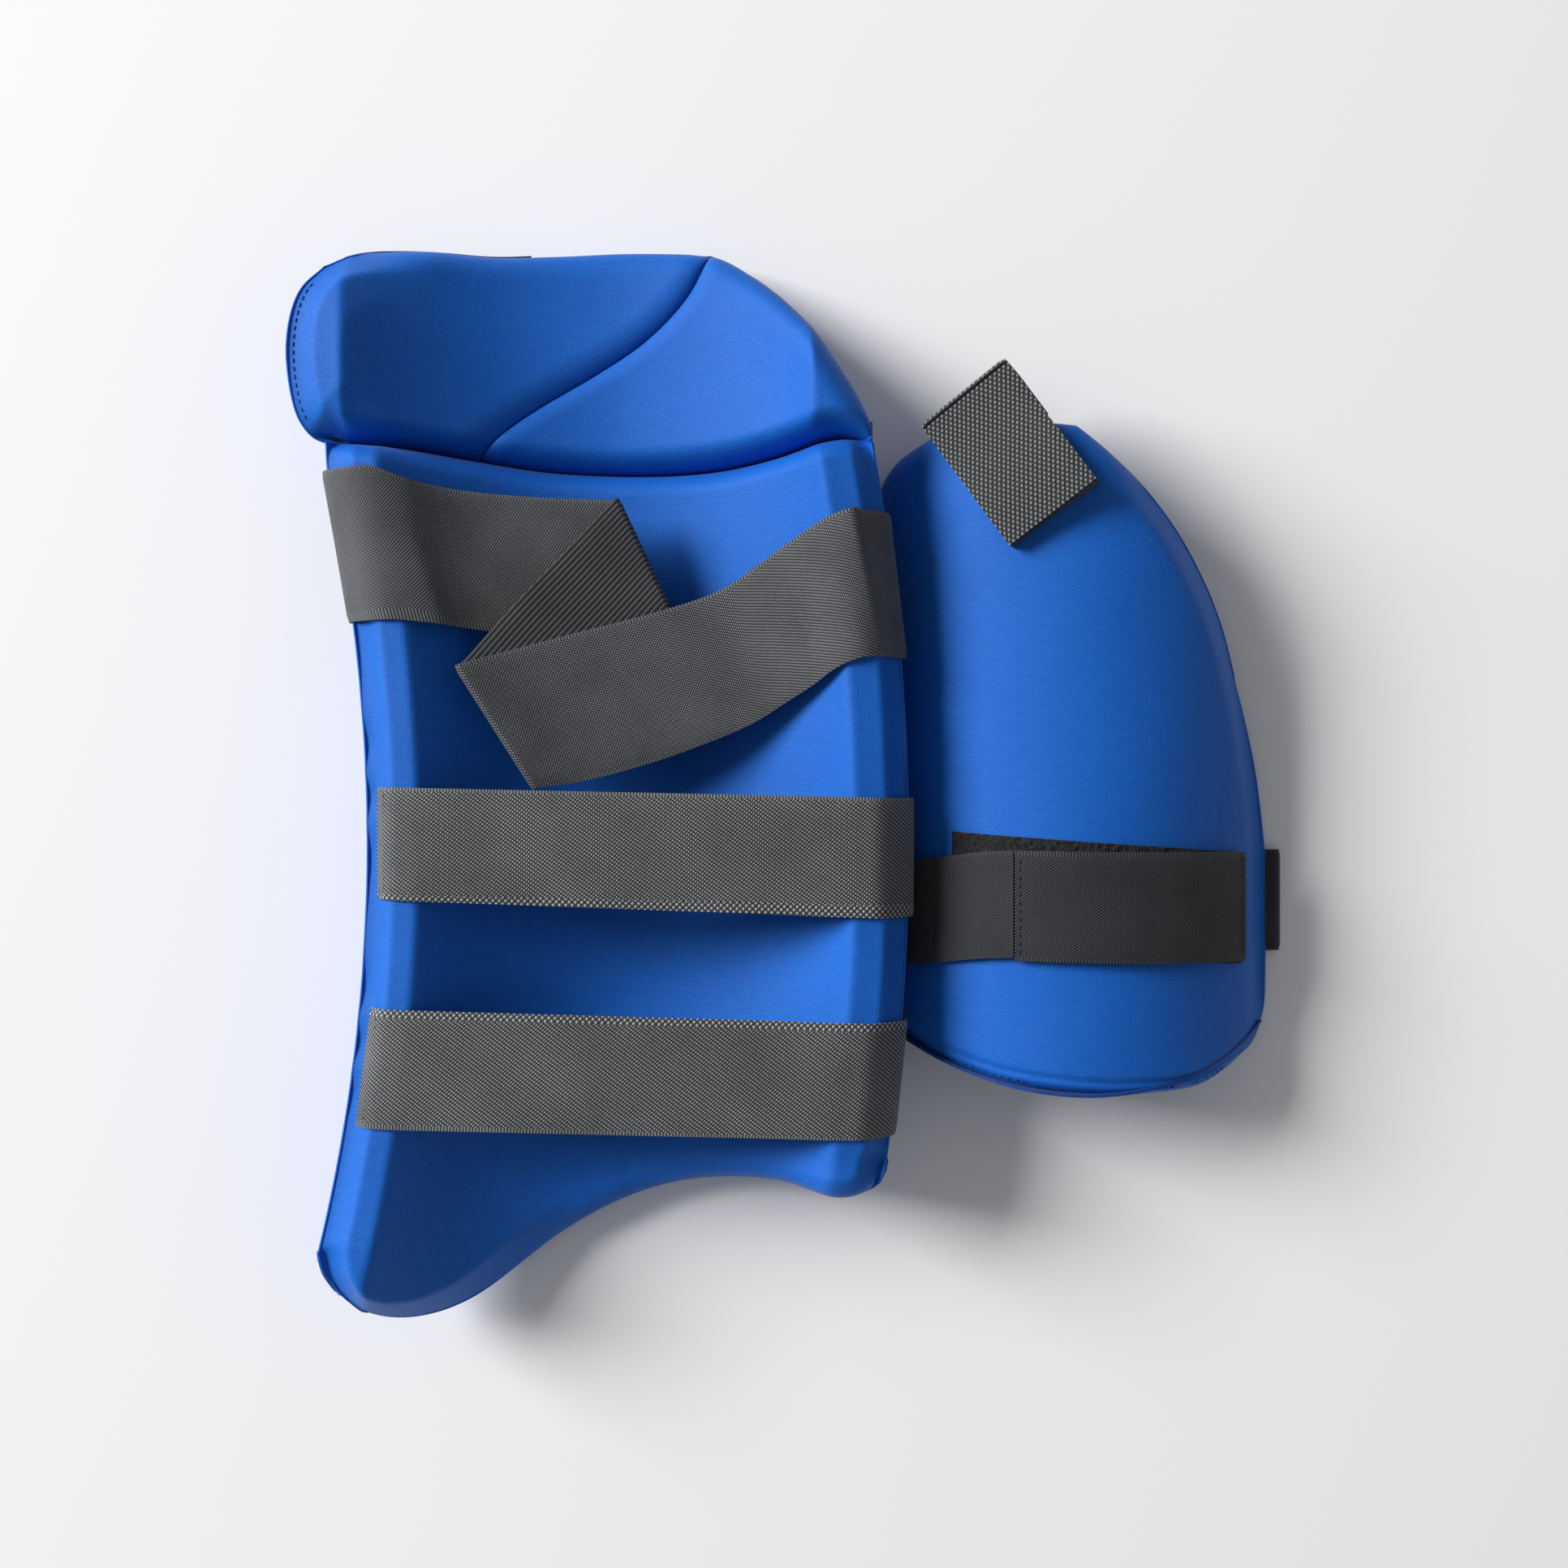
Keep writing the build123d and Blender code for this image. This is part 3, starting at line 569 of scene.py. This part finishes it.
def outer_body():
    """The trough's two faces and foams. Its left side draws in a little above y = 120."""
    rows, columns = 190, 130
    left = []
    for y in np.linspace(-196, 143, 60):
        drawn_in = max(y - 120, 0) ** 2 * 0.0042
        left.append((bent_x(-HALF_WIDTH, y) + drawn_in, y))
    left = smooth_line(left, rows, 0.6)
    left[0], left[-1] = BODY_BOTTOM[0], VALLEY[0]
    right = smooth_line([(bent_x(HALF_WIDTH, y), y) for y in np.linspace(-157, 143, 60)], rows, 0.6)
    right[0], right[-1] = BODY_BOTTOM[-1], VALLEY[-1]
    bottom = smooth_line(BODY_BOTTOM, columns, 0.5)
    top = smooth_line(VALLEY, columns, 0.5)
    grid = patch(bottom, right, top, left)
    across = across_of(grid)
    outside = arc_height(across, OUTER_RADIUS, BASE_HALF)
    inside = np.minimum(FLOOR_THICKNESS + arc_height(across, INNER_RADIUS), RIM_Z)
    d_left, d_right = distance(grid, left), distance(grid, right)
    d_bottom, d_top = distance(grid, bottom), distance(grid, top)
    x, y = grid[..., 0], grid[..., 1]
    d_edge = np.minimum(np.minimum(d_left, d_right), d_bottom)
    on_left = smooth_step(-x, 15, 75)
    on_right = smooth_step(x, 62, 84) * smooth_step(y, -172, -150)
    shape = (on_left * bevelled(d_edge, RIM_BEVEL, RIM_FLAT, 0.95)
             + on_right * bevelled(d_edge, 9.5, 14, 0.92)
             + (1 - on_left - on_right) * rounded(d_edge, 11))
    high, low = two_faces(outside, inside, shape, 0.3)
    groove = rounded(d_top, 11, 2.0)
    valley = outside + VALLEY_RISE
    high = valley + (high - valley) * groove
    low = low + (1 - rounded(d_top, 4)) * 1.2
    from_seam = x + 6.5 + 0.05 * (y + 175)
    high = high - 0.9 * np.exp(-(from_seam**2)) * smooth_step(-y, 150, 162)
    tucks = 0.55 * np.sin(y / 5.3 + np.sin(y / 17.0) * 2.0) * np.exp(-(((d_left - 2.5) / 3.5) ** 2))
    high = high + tucks * smooth_step(-np.abs(y), -150, -120)
    high = high + ripple(grid, 0.9, 3) * np.clip(np.minimum(d_left, d_bottom) / 40, 0, 1)
    cover("thigh_inner_face", grid, high, -1, "outer_guard", ["thigh_inner_cover"], BLUE)
    cover("thigh_outer_face", grid, low, 1, "outer_guard", ["thigh_outer_cover"], BLUE_BACK)
    foams("outer_guard", grid, high, low, (FOAM_EDGE, FOAM_EDGE), ("thigh_shell_core", "thigh_liner_core"),
          ("thigh_shell_foam", "thigh_liner_foam"))


# ---------- outer guard: hip flap ----------

def flap_outside(x):
    """Height of the flap's outside at x: wider and flatter to the left."""
    across = x - HINGE_X
    to_left = arc_height(across, FLAP_RADIUS, BASE_HALF)
    return np.where(across < 0, to_left, arc_height(across, OUTER_RADIUS, BASE_HALF))


def flap_inside(x):
    """Height of the flap's hollow side at x."""
    across = x - HINGE_X
    inside = np.where(across < 0, arc_height(across, FLAP_INNER_RADIUS), arc_height(across, INNER_RADIUS))
    return np.minimum(inside + FLOOR_THICKNESS, RIM_Z)


def flap_edges(grid, lines):
    """The flap's two faces over a plan grid, and its distances from the valley and the seam."""
    left, top, side, valley, seam = lines
    d_left, d_top, d_side = distance(grid, left), distance(grid, top), distance(grid, side)
    d_edge = np.minimum(np.minimum(d_left, d_top), d_side)
    on_left = smooth_step(-grid[..., 0], 86, 122)
    shape = on_left * bevelled(d_edge, 13, 13, 0.82) + (1 - on_left) * rounded(d_edge, 13)
    outside = flap_outside(grid[..., 0])
    high, low = two_faces(outside, flap_inside(grid[..., 0]), shape, 0.35)
    return outside, high, low, distance(grid, valley), distance(grid, seam)


def hip_flap():
    count = 80
    left, top = smooth_line(FLAP_LEFT, count), smooth_line(FLAP_TOP, count)
    side, seam = smooth_line(FLAP_SIDE, count), smooth_line(FLAP_SEAM, count)
    valley = smooth_line(VALLEY, 2 * count)
    lines = (left, top, side, valley, seam)
    rows, columns = 70, 100
    hinge_left = [p for p in VALLEY if p[0] <= -72]
    hinge_right = [p for p in VALLEY if p[0] >= -72]
    grids = {
        "hip_front": patch(smooth_line(hinge_left, columns, 0.5), smooth_line(FLAP_SEAM, rows, 0.5),
                           smooth_line(FLAP_TOP, columns, 0.5), smooth_line(FLAP_LEFT, rows, 0.5)),
        "hip_side": patch(smooth_line(hinge_right, columns, 0.5), smooth_line(FLAP_SIDE[:7], rows, 0.5),
                          smooth_line(FLAP_SIDE[6:][::-1], columns, 0.5)[::-1],
                          smooth_line(FLAP_SEAM, rows, 0.5)),
    }
    for name, grid in grids.items():
        outside, high, low, d_valley, d_seam = flap_edges(grid, lines)
        fold = outside + VALLEY_RISE
        high = fold + (high - fold) * rounded(d_valley, 11, 2.0)
        depth, width = (7.0, 12.0) if name == "hip_front" else (4.0, 8.0)
        high = high - depth * (1 - rounded(d_seam, width, 2.0))
        high = high + ripple(grid, 0.8, 5) * np.clip(d_seam / 30, 0, 1)
        cover(name + "_face", grid, high, -1, "hip_flap", [name + "_cover"], BLUE)
        inner = grid[FOAM_EDGE:-FOAM_EDGE, FOAM_EDGE:-FOAM_EDGE]
        upper, base = inset_faces(high, low, FOAM_EDGE, FOAM_EDGE)
        lower = base + 0.45 * (upper - base) + FOAM_GAP
        foam(name + "_core", inner, upper, lower, SOFT_FOAM, "hip_flap", name + "_foam")
    whole = patch(smooth_line(VALLEY, 150, 0.5), smooth_line(FLAP_SIDE, rows, 0.5),
                  smooth_line(FLAP_TOP, 150, 0.5), smooth_line(FLAP_LEFT, rows, 0.5))
    _, high, low, d_valley, _ = flap_edges(whole, lines)
    rim = inset_line(left[12:-8], -3.2, height_from(whole, high))
    stitches("flap_rim_stitches", rim, "hip_flap", BLUE_THREAD)
    low = low + (1 - rounded(d_valley, 4)) * 1.2
    cover("hip_outer_face", whole, low, 1, "hip_flap", ["hip_outer_cover"], BLUE_BACK)
    inner = whole[FOAM_EDGE:-FOAM_EDGE, FOAM_EDGE:-FOAM_EDGE]
    upper, base = inset_faces(high, low, FOAM_EDGE, FOAM_EDGE)
    foam("hip_shell_core", inner, base + 0.3 * (upper - base), base, DENSE_FOAM, "hip_flap", "hip_shell_foam")


def hinge_fabric():
    """The fabric that joins the flap to the body along the bottom of the valley."""
    x, y = smooth_line(VALLEY, 120).T
    z = flap_outside(x)
    for name, rise, reach, node in (("hinge_valley_fabric", 2.2, 8.0, "hinge_seam_welt"),
                                    ("hinge_back_fabric", 1.3, 6.0, None)):
        first = np.stack([x, y - reach, z + rise], axis=1)
        second = np.stack([x, y + reach, z + rise], axis=1)
        piece = ribbon(name, first, second, 0.8, [BLUE, BLUE], columns=21)
        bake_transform(piece)
        if node:
            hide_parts(node)


# ---------- straps ----------

def band_place(side, angle, away):
    """A point of the trough's outside section at an angle from straight down: distance across, and height."""
    r = OUTER_RADIUS + away
    return side * (BASE_HALF + r * sin(radians(angle))), OUTER_RADIUS - r * cos(radians(angle))


def edges(stations):
    """Two selvage lines from stations (across, z, y of the first edge, y of the second edge)."""
    line = smooth_line(stations, 150)
    first = [(bent_x(a, y1), y1, z) for a, z, y1, y2 in line]
    second = [(bent_x(a, y2), y2, z) for a, z, y1, y2 in line]
    return np.array(first), np.array(second)


def finish_strap(piece, body, node):
    """Says what a ribbon rides on and stands for."""
    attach(piece, body)
    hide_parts(node)


RIGHT_WRAP = [(100.5, 61.3), (108, 56), (113.4, 50.5), (114.9, 45.5), (113.4, 40.5)]
# Each layer of a strap's end: distance out from the trough, thickness, and its tip's and root's angles
STRAP_BANDS = {
    "loop_patch": (1.2, 1.4, 17, 37.2),
    "hook_patch": (2.7, 1.0, 19.6, 35),
    "tab": (4.2, 1.6, 19, 35.9),
}


def arc_places(side, away, start, end, count=9):
    """Places (across, z) along the outside of the trough from one angle to another."""
    return [band_place(side, angle, away) for angle in np.linspace(start, end, count)]


def with_edges(places, y_high, y_low):
    """Stations of a strap whose two edges keep their y."""
    return [(a, z, y_high, y_low) for a, z in places]


def at_y(places, y):
    """Points where places (across, z) meet y."""
    return [(bent_x(a, y), y, z) for a, z in places]


def strap_end(name, body, y_high, y_low, faces):
    """The end of a strap on the guard's outside: its loop patch, hook patch and free tab."""
    for part, (away, thick, tip, root) in STRAP_BANDS.items():
        grow = {"loop_patch": 2, "hook_patch": -2, "tab": 0}[part]
        first, second = edges(with_edges(arc_places(1, away, root, tip), y_high + grow, y_low - grow))
        looks = {"loop_patch": [LOOP, LOOP], "hook_patch": [HOOK, HOOK], "tab": faces}[part]
        piece = ribbon(name + "_" + part + "_piece", first, second, thick, looks)
        rides = "outer_guard" if part == "loop_patch" else body
        finish_strap(piece, rides, name + "_" + part)


def thigh_strap(name, left, right, face):
    """A taut strap: sewn on the left rim's bevel, across the hollow, round the right rim to the outside."""
    (lh, ll), (rh, rl) = left, right

    def at(share):
        """The y of both edges at a share of the way across."""
        return lh + (rh - lh) * share, ll + (rl - ll) * share

    stations = [(-106.5, 54.8, *at(0)), (-101.5, 60.2, *at(0.02)), (-94, 62.0, *at(0.06))]
    stations += [(-84, 62.6, *at(0.1))]
    stations += [(x, 62.3, *at((x + 107) / 214)) for x in (-50, -10, 30, 60)]
    stations += [(84, 62.6, *at(0.92)), (93, 62.3, *at(0.95))]
    outside = RIGHT_WRAP + arc_places(1, 2.2, 43, 39, 3) + arc_places(1, 4.2, 37.6, 36.2, 2)
    stations += with_edges(outside, rh, rl)
    first, second = edges(stations)
    band = ribbon(name + "_band", first, second, ELASTIC, [face, BACK_48])
    finish_strap(band, "outer_guard", name)
    strap_end(name, name + "_end", rh, rl, [face, BACK_48])


def fold_round(first, second, direction, rise, steps=7):
    """Points that take both selvages round a fold, from one layer up to the next."""
    out_first, out_second = [], []
    for angle in np.linspace(-80, 80, steps):
        shift = np.array([direction[0], direction[1], 0]) * cos(radians(angle)) * rise / 2
        lift = np.array([0, 0, rise / 2 * (1 + sin(radians(angle)))])
        out_first.append(np.array(first) + shift + lift)
        out_second.append(np.array(second) + shift + lift)
    return out_first, out_second


def waist_belt():
    """The belt wraps both rims, and is folded over twice where it crosses the hollow."""
    left_wrap = arc_places(-1, 1.6, 38, 44, 3) + [(-a, z) for a, z in RIGHT_WRAP[::-1]] + [(-92, 62.2)]
    first = at_y(left_wrap, 130.5) + [(-96.5, 126.5, 58.5), (-86, 124.5, 51.5), (-72, 122.6, 46.5),
                                      (-45, 120.6, 43.6), (-14, 119.6, 41.8)]
    second = at_y(left_wrap, 67.5) + [(-82, 66.2, 58.5), (-74, 65.2, 52), (-60, 63.6, 46.5), (-35, 60.6, 42),
                                      (-12, 58, 39.6), (15, 55.6, 37.2)]
    run_a = smooth_line(first, 110), smooth_line(second, 110)
    f1, s1 = fold_round((-10.5, 119.5, 41.6), (20, 55, 37), (0.88, 0.42), 3.0)
    run_t = (smooth_line([f1[-1], (-30, 98, 48), (-52, 74, 52), (-71, 52, 54)], 50),
             smooth_line([s1[-1], (0, 36.5, 41.5), (-22, 16.5, 43), (-40, 1, 44.5)], 50))
    f2, s2 = fold_round((-73.5, 49.7, 54.2), (-42.4, -1.4, 44.8), (-0.85, -0.52), 3.4)
    f2 = [p + np.array([0, 0, 0.2]) for p in f2]
    to_tab = arc_places(1, 4.2, 38, 36.2, 2)
    first = [f2[-1], (-50, 56.5, 51.4), (-22, 64.3, 47.2), (11, 73.2, 44.9), (34, 81.3, 45), (50, 91.5, 48),
             (64, 101, 53.5), (78, 109.5, 60), (88, 113.2, 62.8)]
    first += at_y(RIGHT_WRAP[:1], 113.5) + at_y(RIGHT_WRAP[1:] + to_tab, 113)
    second = [s2[-1], (-22, 1.5, 44.6), (3.7, 8.5, 43.2), (28, 17, 43), (47.5, 25.3, 44), (61, 33.5, 48),
              (73, 41, 54), (82, 47.5, 60.3), (91, 51.5, 62.8)]
    second += at_y(RIGHT_WRAP + to_tab, 52.5)
    run_b = smooth_line(first, 130), smooth_line(second, 130)
    first = np.vstack([run_a[0], f1, run_t[0], f2, run_b[0]])
    second = np.vstack([run_a[1], s1, run_t[1], s2, run_b[1]])
    piece = ribbon("waist_belt_band", first, second, ELASTIC, [FACE_63, BACK_63], columns=21)
    finish_strap(piece, "outer_guard", "waist_belt")
    strap_end("waist_belt", "waist_belt_end", 113, 52.5, [FACE_63, BACK_63])


# ---------- inner guard ----------

def inner_guard():
    """The arch's two faces and foams, and the stitches along its hem."""
    rows, columns = 130, 90
    left, right = smooth_line(ARCH_LEFT, rows, 0.4), smooth_line(ARCH_RIGHT, rows, 0.4)
    bottom, top = smooth_line(ARCH_BOTTOM, columns, 0.7), smooth_line(ARCH_TOP, columns, 0.7)
    grid = patch(bottom, right, top, left)
    across = grid[..., 0] - ARCH_X
    crown = ARCH_Z + np.sqrt(np.maximum(ARCH_RADIUS**2 - across**2, 0))
    lining = np.maximum(ARCH_Z + np.sqrt(np.maximum(LINING_RADIUS**2 - across**2, 0)), FOOT_Z)
    d_left, d_right = distance(grid, left), distance(grid, right)
    d_bottom, d_top = distance(grid, bottom), distance(grid, top)
    d_edge = np.minimum(np.minimum(d_left, d_right), np.minimum(d_bottom, d_top))
    on_right = smooth_step(grid[..., 0], 190, 215) * smooth_step(grid[..., 1], -118, -85)
    shape = on_right * bevelled(d_edge, 8.5, 3, 0.8) + (1 - on_right) * rounded(d_edge, 8.5)
    high, low = two_faces(lining, crown, shape, 0.35)
    on_bottom = smooth_step(-grid[..., 1], 96, 116)
    high = high - 1.3 * on_bottom * np.exp(-(((d_bottom - 6.2) / 1.1) ** 2))
    high = high + ripple(grid, 0.6, 9) * np.clip(np.minimum(d_left, d_right) / 30, 0, 1)
    low = np.maximum(low, FOOT_Z)
    hem = inset_line(bottom[16:-8], 3.0, height_from(grid, high))
    stitches("inner_hem_stitches", hem, "inner_guard", BLUE_THREAD)
    cover("inner_guard_face", grid, high, -1, "inner_guard", ["inner_outer_cover"], BLUE)
    cover("inner_guard_lining", grid, low, 1, "inner_guard", ["inner_lining_cover"], BLUE_BACK)
    foams("inner_guard", grid, high, low, (FOAM_EDGE, FOAM_EDGE + 1),
          ("inner_liner_core", "inner_shell_core"), ("inner_liner_foam", "inner_shell_foam"))


def arch_point(angle, away, y):
    """A point over the arch at an angle from straight up."""
    r = ARCH_RADIUS + away
    return ARCH_X + r * sin(radians(angle)), y, ARCH_Z + r * cos(radians(angle))


def arch_band(start, end, away, y_high, y_low, count=40):
    """Two selvage lines over the arch; the y values may change from start to end."""
    first, second = [], []
    for t in np.linspace(0, 1, count):
        angle = start + (end - start) * t
        first.append(arch_point(angle, away, y_high[0] + (y_high[1] - y_high[0]) * t))
        second.append(arch_point(angle, away, y_low[0] + (y_low[1] - y_low[0]) * t))
    return first, second


def inner_strap():
    """Sewn at the right edge, under the arch, round the left edge and fastened on the face."""
    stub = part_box("inner_strap")[1][0] / MM
    under = [(stub - 10, 3.1), (stub - 3, 3.2), (stub - 0.9, 2.0), (stub - 3, 0.8), (stub - 12, 0.8),
             (240, 0.8), (180, 0.8), (130, 0.8), (104, 0.85), (99.2, 1.8), (98.3, 4.2)]
    first = [(x, -29, z) for x, z in under]
    second = [(x, -73.5, z) for x, z in under]
    for angle, away, top in ((-60, 1.6, -31), (-54, 2.4, -32.5), (-46, 3.8, -33), (-38, 3.8, -31.5),
                             (-30, 3.8, -29.5), (-24, 3.8, -28.2), (-17.3, 3.8, -27.6)):
        first.append(arch_point(angle, away, top))
        second.append(arch_point(angle, away, top - 44.5))
    lines = smooth_line(first, 200), smooth_line(second, 200)
    piece = ribbon("inner_strap_band", *lines, ELASTIC, [FACE_45, BACK_45])
    finish_strap(piece, "inner_guard", "inner_strap")
    first, second = arch_band(-17, 43, 3.8, (-27.6, -29), (-73.2, -75.6))
    tab = ribbon("inner_strap_tab_piece", second, first, ELASTIC, [FACE_45, FACE_45])
    finish_strap(tab, "inner_strap_end", "inner_strap_tab")
    first, second = arch_band(-16, 42, 2.35, (-29.6, -31), (-71.2, -73.6))
    hooks = ribbon("inner_strap_hook_piece", second, first, 1.0, [HOOK, HOOK])
    finish_strap(hooks, "inner_strap_end", "inner_strap_hook_patch")
    first, second = arch_band(-33, 44, 0.9, (-20, -29.4), (-68, -77))
    loops = ribbon("inner_strap_loop_piece", second, first, 1.2, [LOOP, LOOP])
    finish_strap(loops, "inner_guard", "inner_strap_loop_strip")


def belt_loop():
    """The webbing belt loop over the inner guard's top edge: a flat tab, a turn and a sewn leg below."""
    lean = asin((LOOP_X - ARCH_X) / ARCH_RADIUS)
    out = np.array([sin(lean), 0, cos(lean)])
    along = np.array([cos(LOOP_TURN), sin(LOOP_TURN), 0])
    along = along - out * (along @ out)
    along = along / np.linalg.norm(along)
    side = np.cross(out, along)
    origin = np.array([LOOP_X, LOOP_Y, ARCH_Z + ARCH_RADIUS * cos(lean)])

    def place(u, v, w):
        """A point from the loop's middle: along it, to its side and away from the arch."""
        return origin + u * along + v * side + w * out

    def under(u, v):
        """On the lining, below the loop's place."""
        start = place(u, v, 0)
        offset, slope = start[[0, 2]] - np.array([ARCH_X, ARCH_Z]), out[[0, 2]]
        b, c = offset @ slope, offset @ offset - WEBBING_LEG_RADIUS**2
        return start + (-b + np.sqrt(b * b - c)) * out

    tab = [(u, 6.5 + 0.5 * sin(u / 9)) for u in np.linspace(-30.7, 31, 40)]
    lines = [np.array([place(u, v, w) for u, w in tab]) for v in (WEBBING_HALF, -WEBBING_HALF)]
    finish_strap(ribbon("belt_loop_tab_piece", lines[0], lines[1], 3.0, [WEBBING, WEBBING]), "belt_loop_end",
                 "belt_loop_tab")
    turn = [(-31.2, 6.5), (-32.2, 5.6), (-32.6, 3.6), (-32.6, 0), (-32.6, -5), (-32.6, -10)]
    lines = []
    for v in (WEBBING_HALF, -WEBBING_HALF):
        points = [place(u, v, w) for u, w in turn] + [under(u, v) for u in (-31.4, -28, -22, -15, -9.5)]
        lines.append(smooth_line(points, 70))
    finish_strap(ribbon("belt_loop_turn", lines[0], lines[1], 2.9, [WEBBING, WEBBING]), "inner_guard",
                 "belt_loop_webbing")


def top_binding():
    """A dark strip behind the hip flap's top edge: painted shadow, a near-black sheet that stands for the
    outer face's edge in shade.
    """
    x, y = smooth_line(FLAP_TOP, 120)[6:62].T
    z = flap_outside(x)
    first = np.stack([x, y - 9.0, z + 2.6], axis=1)
    second = np.stack([x, y + 1.6, z + 7.0], axis=1)
    # The strip's near-black colour is painted shadow, not a separate binding fabric.
    piece = ribbon("hip_top_shadow_strip_piece", first, second, 1.2, [SHADOW_SLATE, SHADOW_SLATE], columns=9)
    finish_strap(piece, "hip_flap", "hip_top_binding")


def stitches(name, line, body, colour, length=2.2, gap=1.2, thick=0.55):
    """A row of stitches along a line of points: short round threads that dip at both ends."""
    line = np.asarray(line, float)
    along = np.concatenate([[0], np.cumsum(np.linalg.norm(np.diff(line, axis=0), axis=1))])
    verts, faces = [], []
    start = 0.5
    while start + length < along[-1]:
        ring_places = start + length * np.array([0.0, 0.2, 0.5, 0.8, 1.0])
        centres = np.stack([np.interp(ring_places, along, line[:, k]) for k in range(3)], axis=1)
        centres[[0, -1], 2] -= 0.45
        ahead = centres[-1] - centres[0]
        ahead = ahead / np.linalg.norm(ahead)
        side = np.cross(ahead, (0, 0, 1))
        side = side / np.linalg.norm(side)
        up = np.cross(side, ahead)
        first = len(verts)
        for centre in centres:
            for turn in np.arange(6) * pi / 3:
                verts.append(centre + thick / 2 * (cos(turn) * side + sin(turn) * up))
        for ring_index in range(4):
            for k in range(6):
                a, b = first + ring_index * 6 + k, first + ring_index * 6 + (k + 1) % 6
                faces.append([a, b, b + 6, a + 6])
        faces.append([first + k for k in range(5, -1, -1)])
        faces.append([first + 24 + k for k in range(6)])
        start += length + gap
    piece = make_object(name, verts, faces, materials=[colour])
    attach(piece, body)


def inset_line(line, inward, height):
    """A line in plan moved to its left side by inward, at the height of a surface function."""
    step = np.gradient(line, axis=0)
    step /= np.linalg.norm(step, axis=1, keepdims=True)
    moved = line + np.stack([-step[:, 1], step[:, 0]], axis=1) * inward
    return np.array([(x, y, height(x, y)) for x, y in moved])


def height_from(grid, high):
    """Looks up the height of the nearest point of a height grid."""
    points, z = grid.reshape(-1, 2), high.ravel()
    return lambda x, y: z[np.argmin((points[:, 0] - x) ** 2 + (points[:, 1] - y) ** 2)] + 0.15


def strap_stitching():
    """The rows that hold the straps: across the thigh straps' sewn ends and the inner strap's tab."""
    for name, top, low in (("mid", -3.5, -46), ("lower", -95, -139.8)):
        line = [(bent_x(SEWN_X, y), y, SEWN_Z) for y in np.linspace(top, low, 30)]
        stitches(name + "_strap_stitches", line, "outer_guard", THREAD)
    for k, angle in enumerate((-15.8, 41.6)):
        line = [arch_point(angle, 4.75, y) for y in np.linspace(-30.5, -72.5, 30)]
        stitches("inner_tab_stitches_%d" % k, line, "inner_strap_end", THREAD)


def main():
    strap_stitching()
    belt_loop()
    top_binding()
    outer_body()
    hip_flap()
    hinge_fabric()
    thigh_strap("mid_strap", (-1.3, -47.5), (-5.7, -55.2), FACE_MID)
    thigh_strap("lower_strap", (-92.5, -141.5), (-98.6, -146.4), FACE_LOW)
    waist_belt()
    inner_guard()
    inner_strap()


main()

# The edge gusset gets the darker blue copy, which is painted shade.
LOOKS = {"belt_loop_patch": LOOP, "belt_loop_hook_patch": HOOK, "inner_edge_gusset": SHADED_GUSSET}
for node, look in LOOKS.items():
    for slot in bpy.data.objects[node].material_slots:
        slot.material = look


# ---------- floor, light and camera ----------

def surroundings():
    """A pale floor, one soft light and a camera that looks straight down."""
    mesh = bpy.data.meshes.new("floor")
    mesh.from_pydata([(-3, -3, 0), (3, -3, 0), (3, 3, 0), (-3, 3, 0)], [], [(0, 1, 2, 3)])
    floor = bpy.data.objects.new("floor", mesh)
    bpy.context.scene.collection.objects.link(floor)
    mesh.materials.append(material("paper", (0.96, 0.96, 0.96), 0.95)[0])
    world = bpy.data.worlds.new("soft_room")
    world.use_nodes = True
    world.node_tree.nodes["Background"].inputs[0].default_value = (0.97, 0.98, 1.0, 1)
    world.node_tree.nodes["Background"].inputs[1].default_value = 0.25
    bpy.context.scene.world = world
    light = bpy.data.lights.new("window", "AREA")
    light.size = 2.7
    light.energy = 590.0
    lamp = bpy.data.objects.new("window", light)
    lamp.location = (-5.2, 2.3, 3.1)
    lamp.rotation_mode = "QUATERNION"
    lamp.rotation_quaternion = (Vector((0.05, 0, 0)) - lamp.location).to_track_quat("-Z", "Y")
    bpy.context.scene.collection.objects.link(lamp)
    camera_data = bpy.data.cameras.new("camera")
    camera_data.lens = 41.3
    camera_data.sensor_width = 36.0
    camera = bpy.data.objects.new("camera", camera_data)
    camera.location = (0.0609, 0, 0.8)
    bpy.context.scene.collection.objects.link(camera)
    bpy.context.scene.camera = camera


surroundings()
bpy.context.scene.view_settings.view_transform = "Standard"
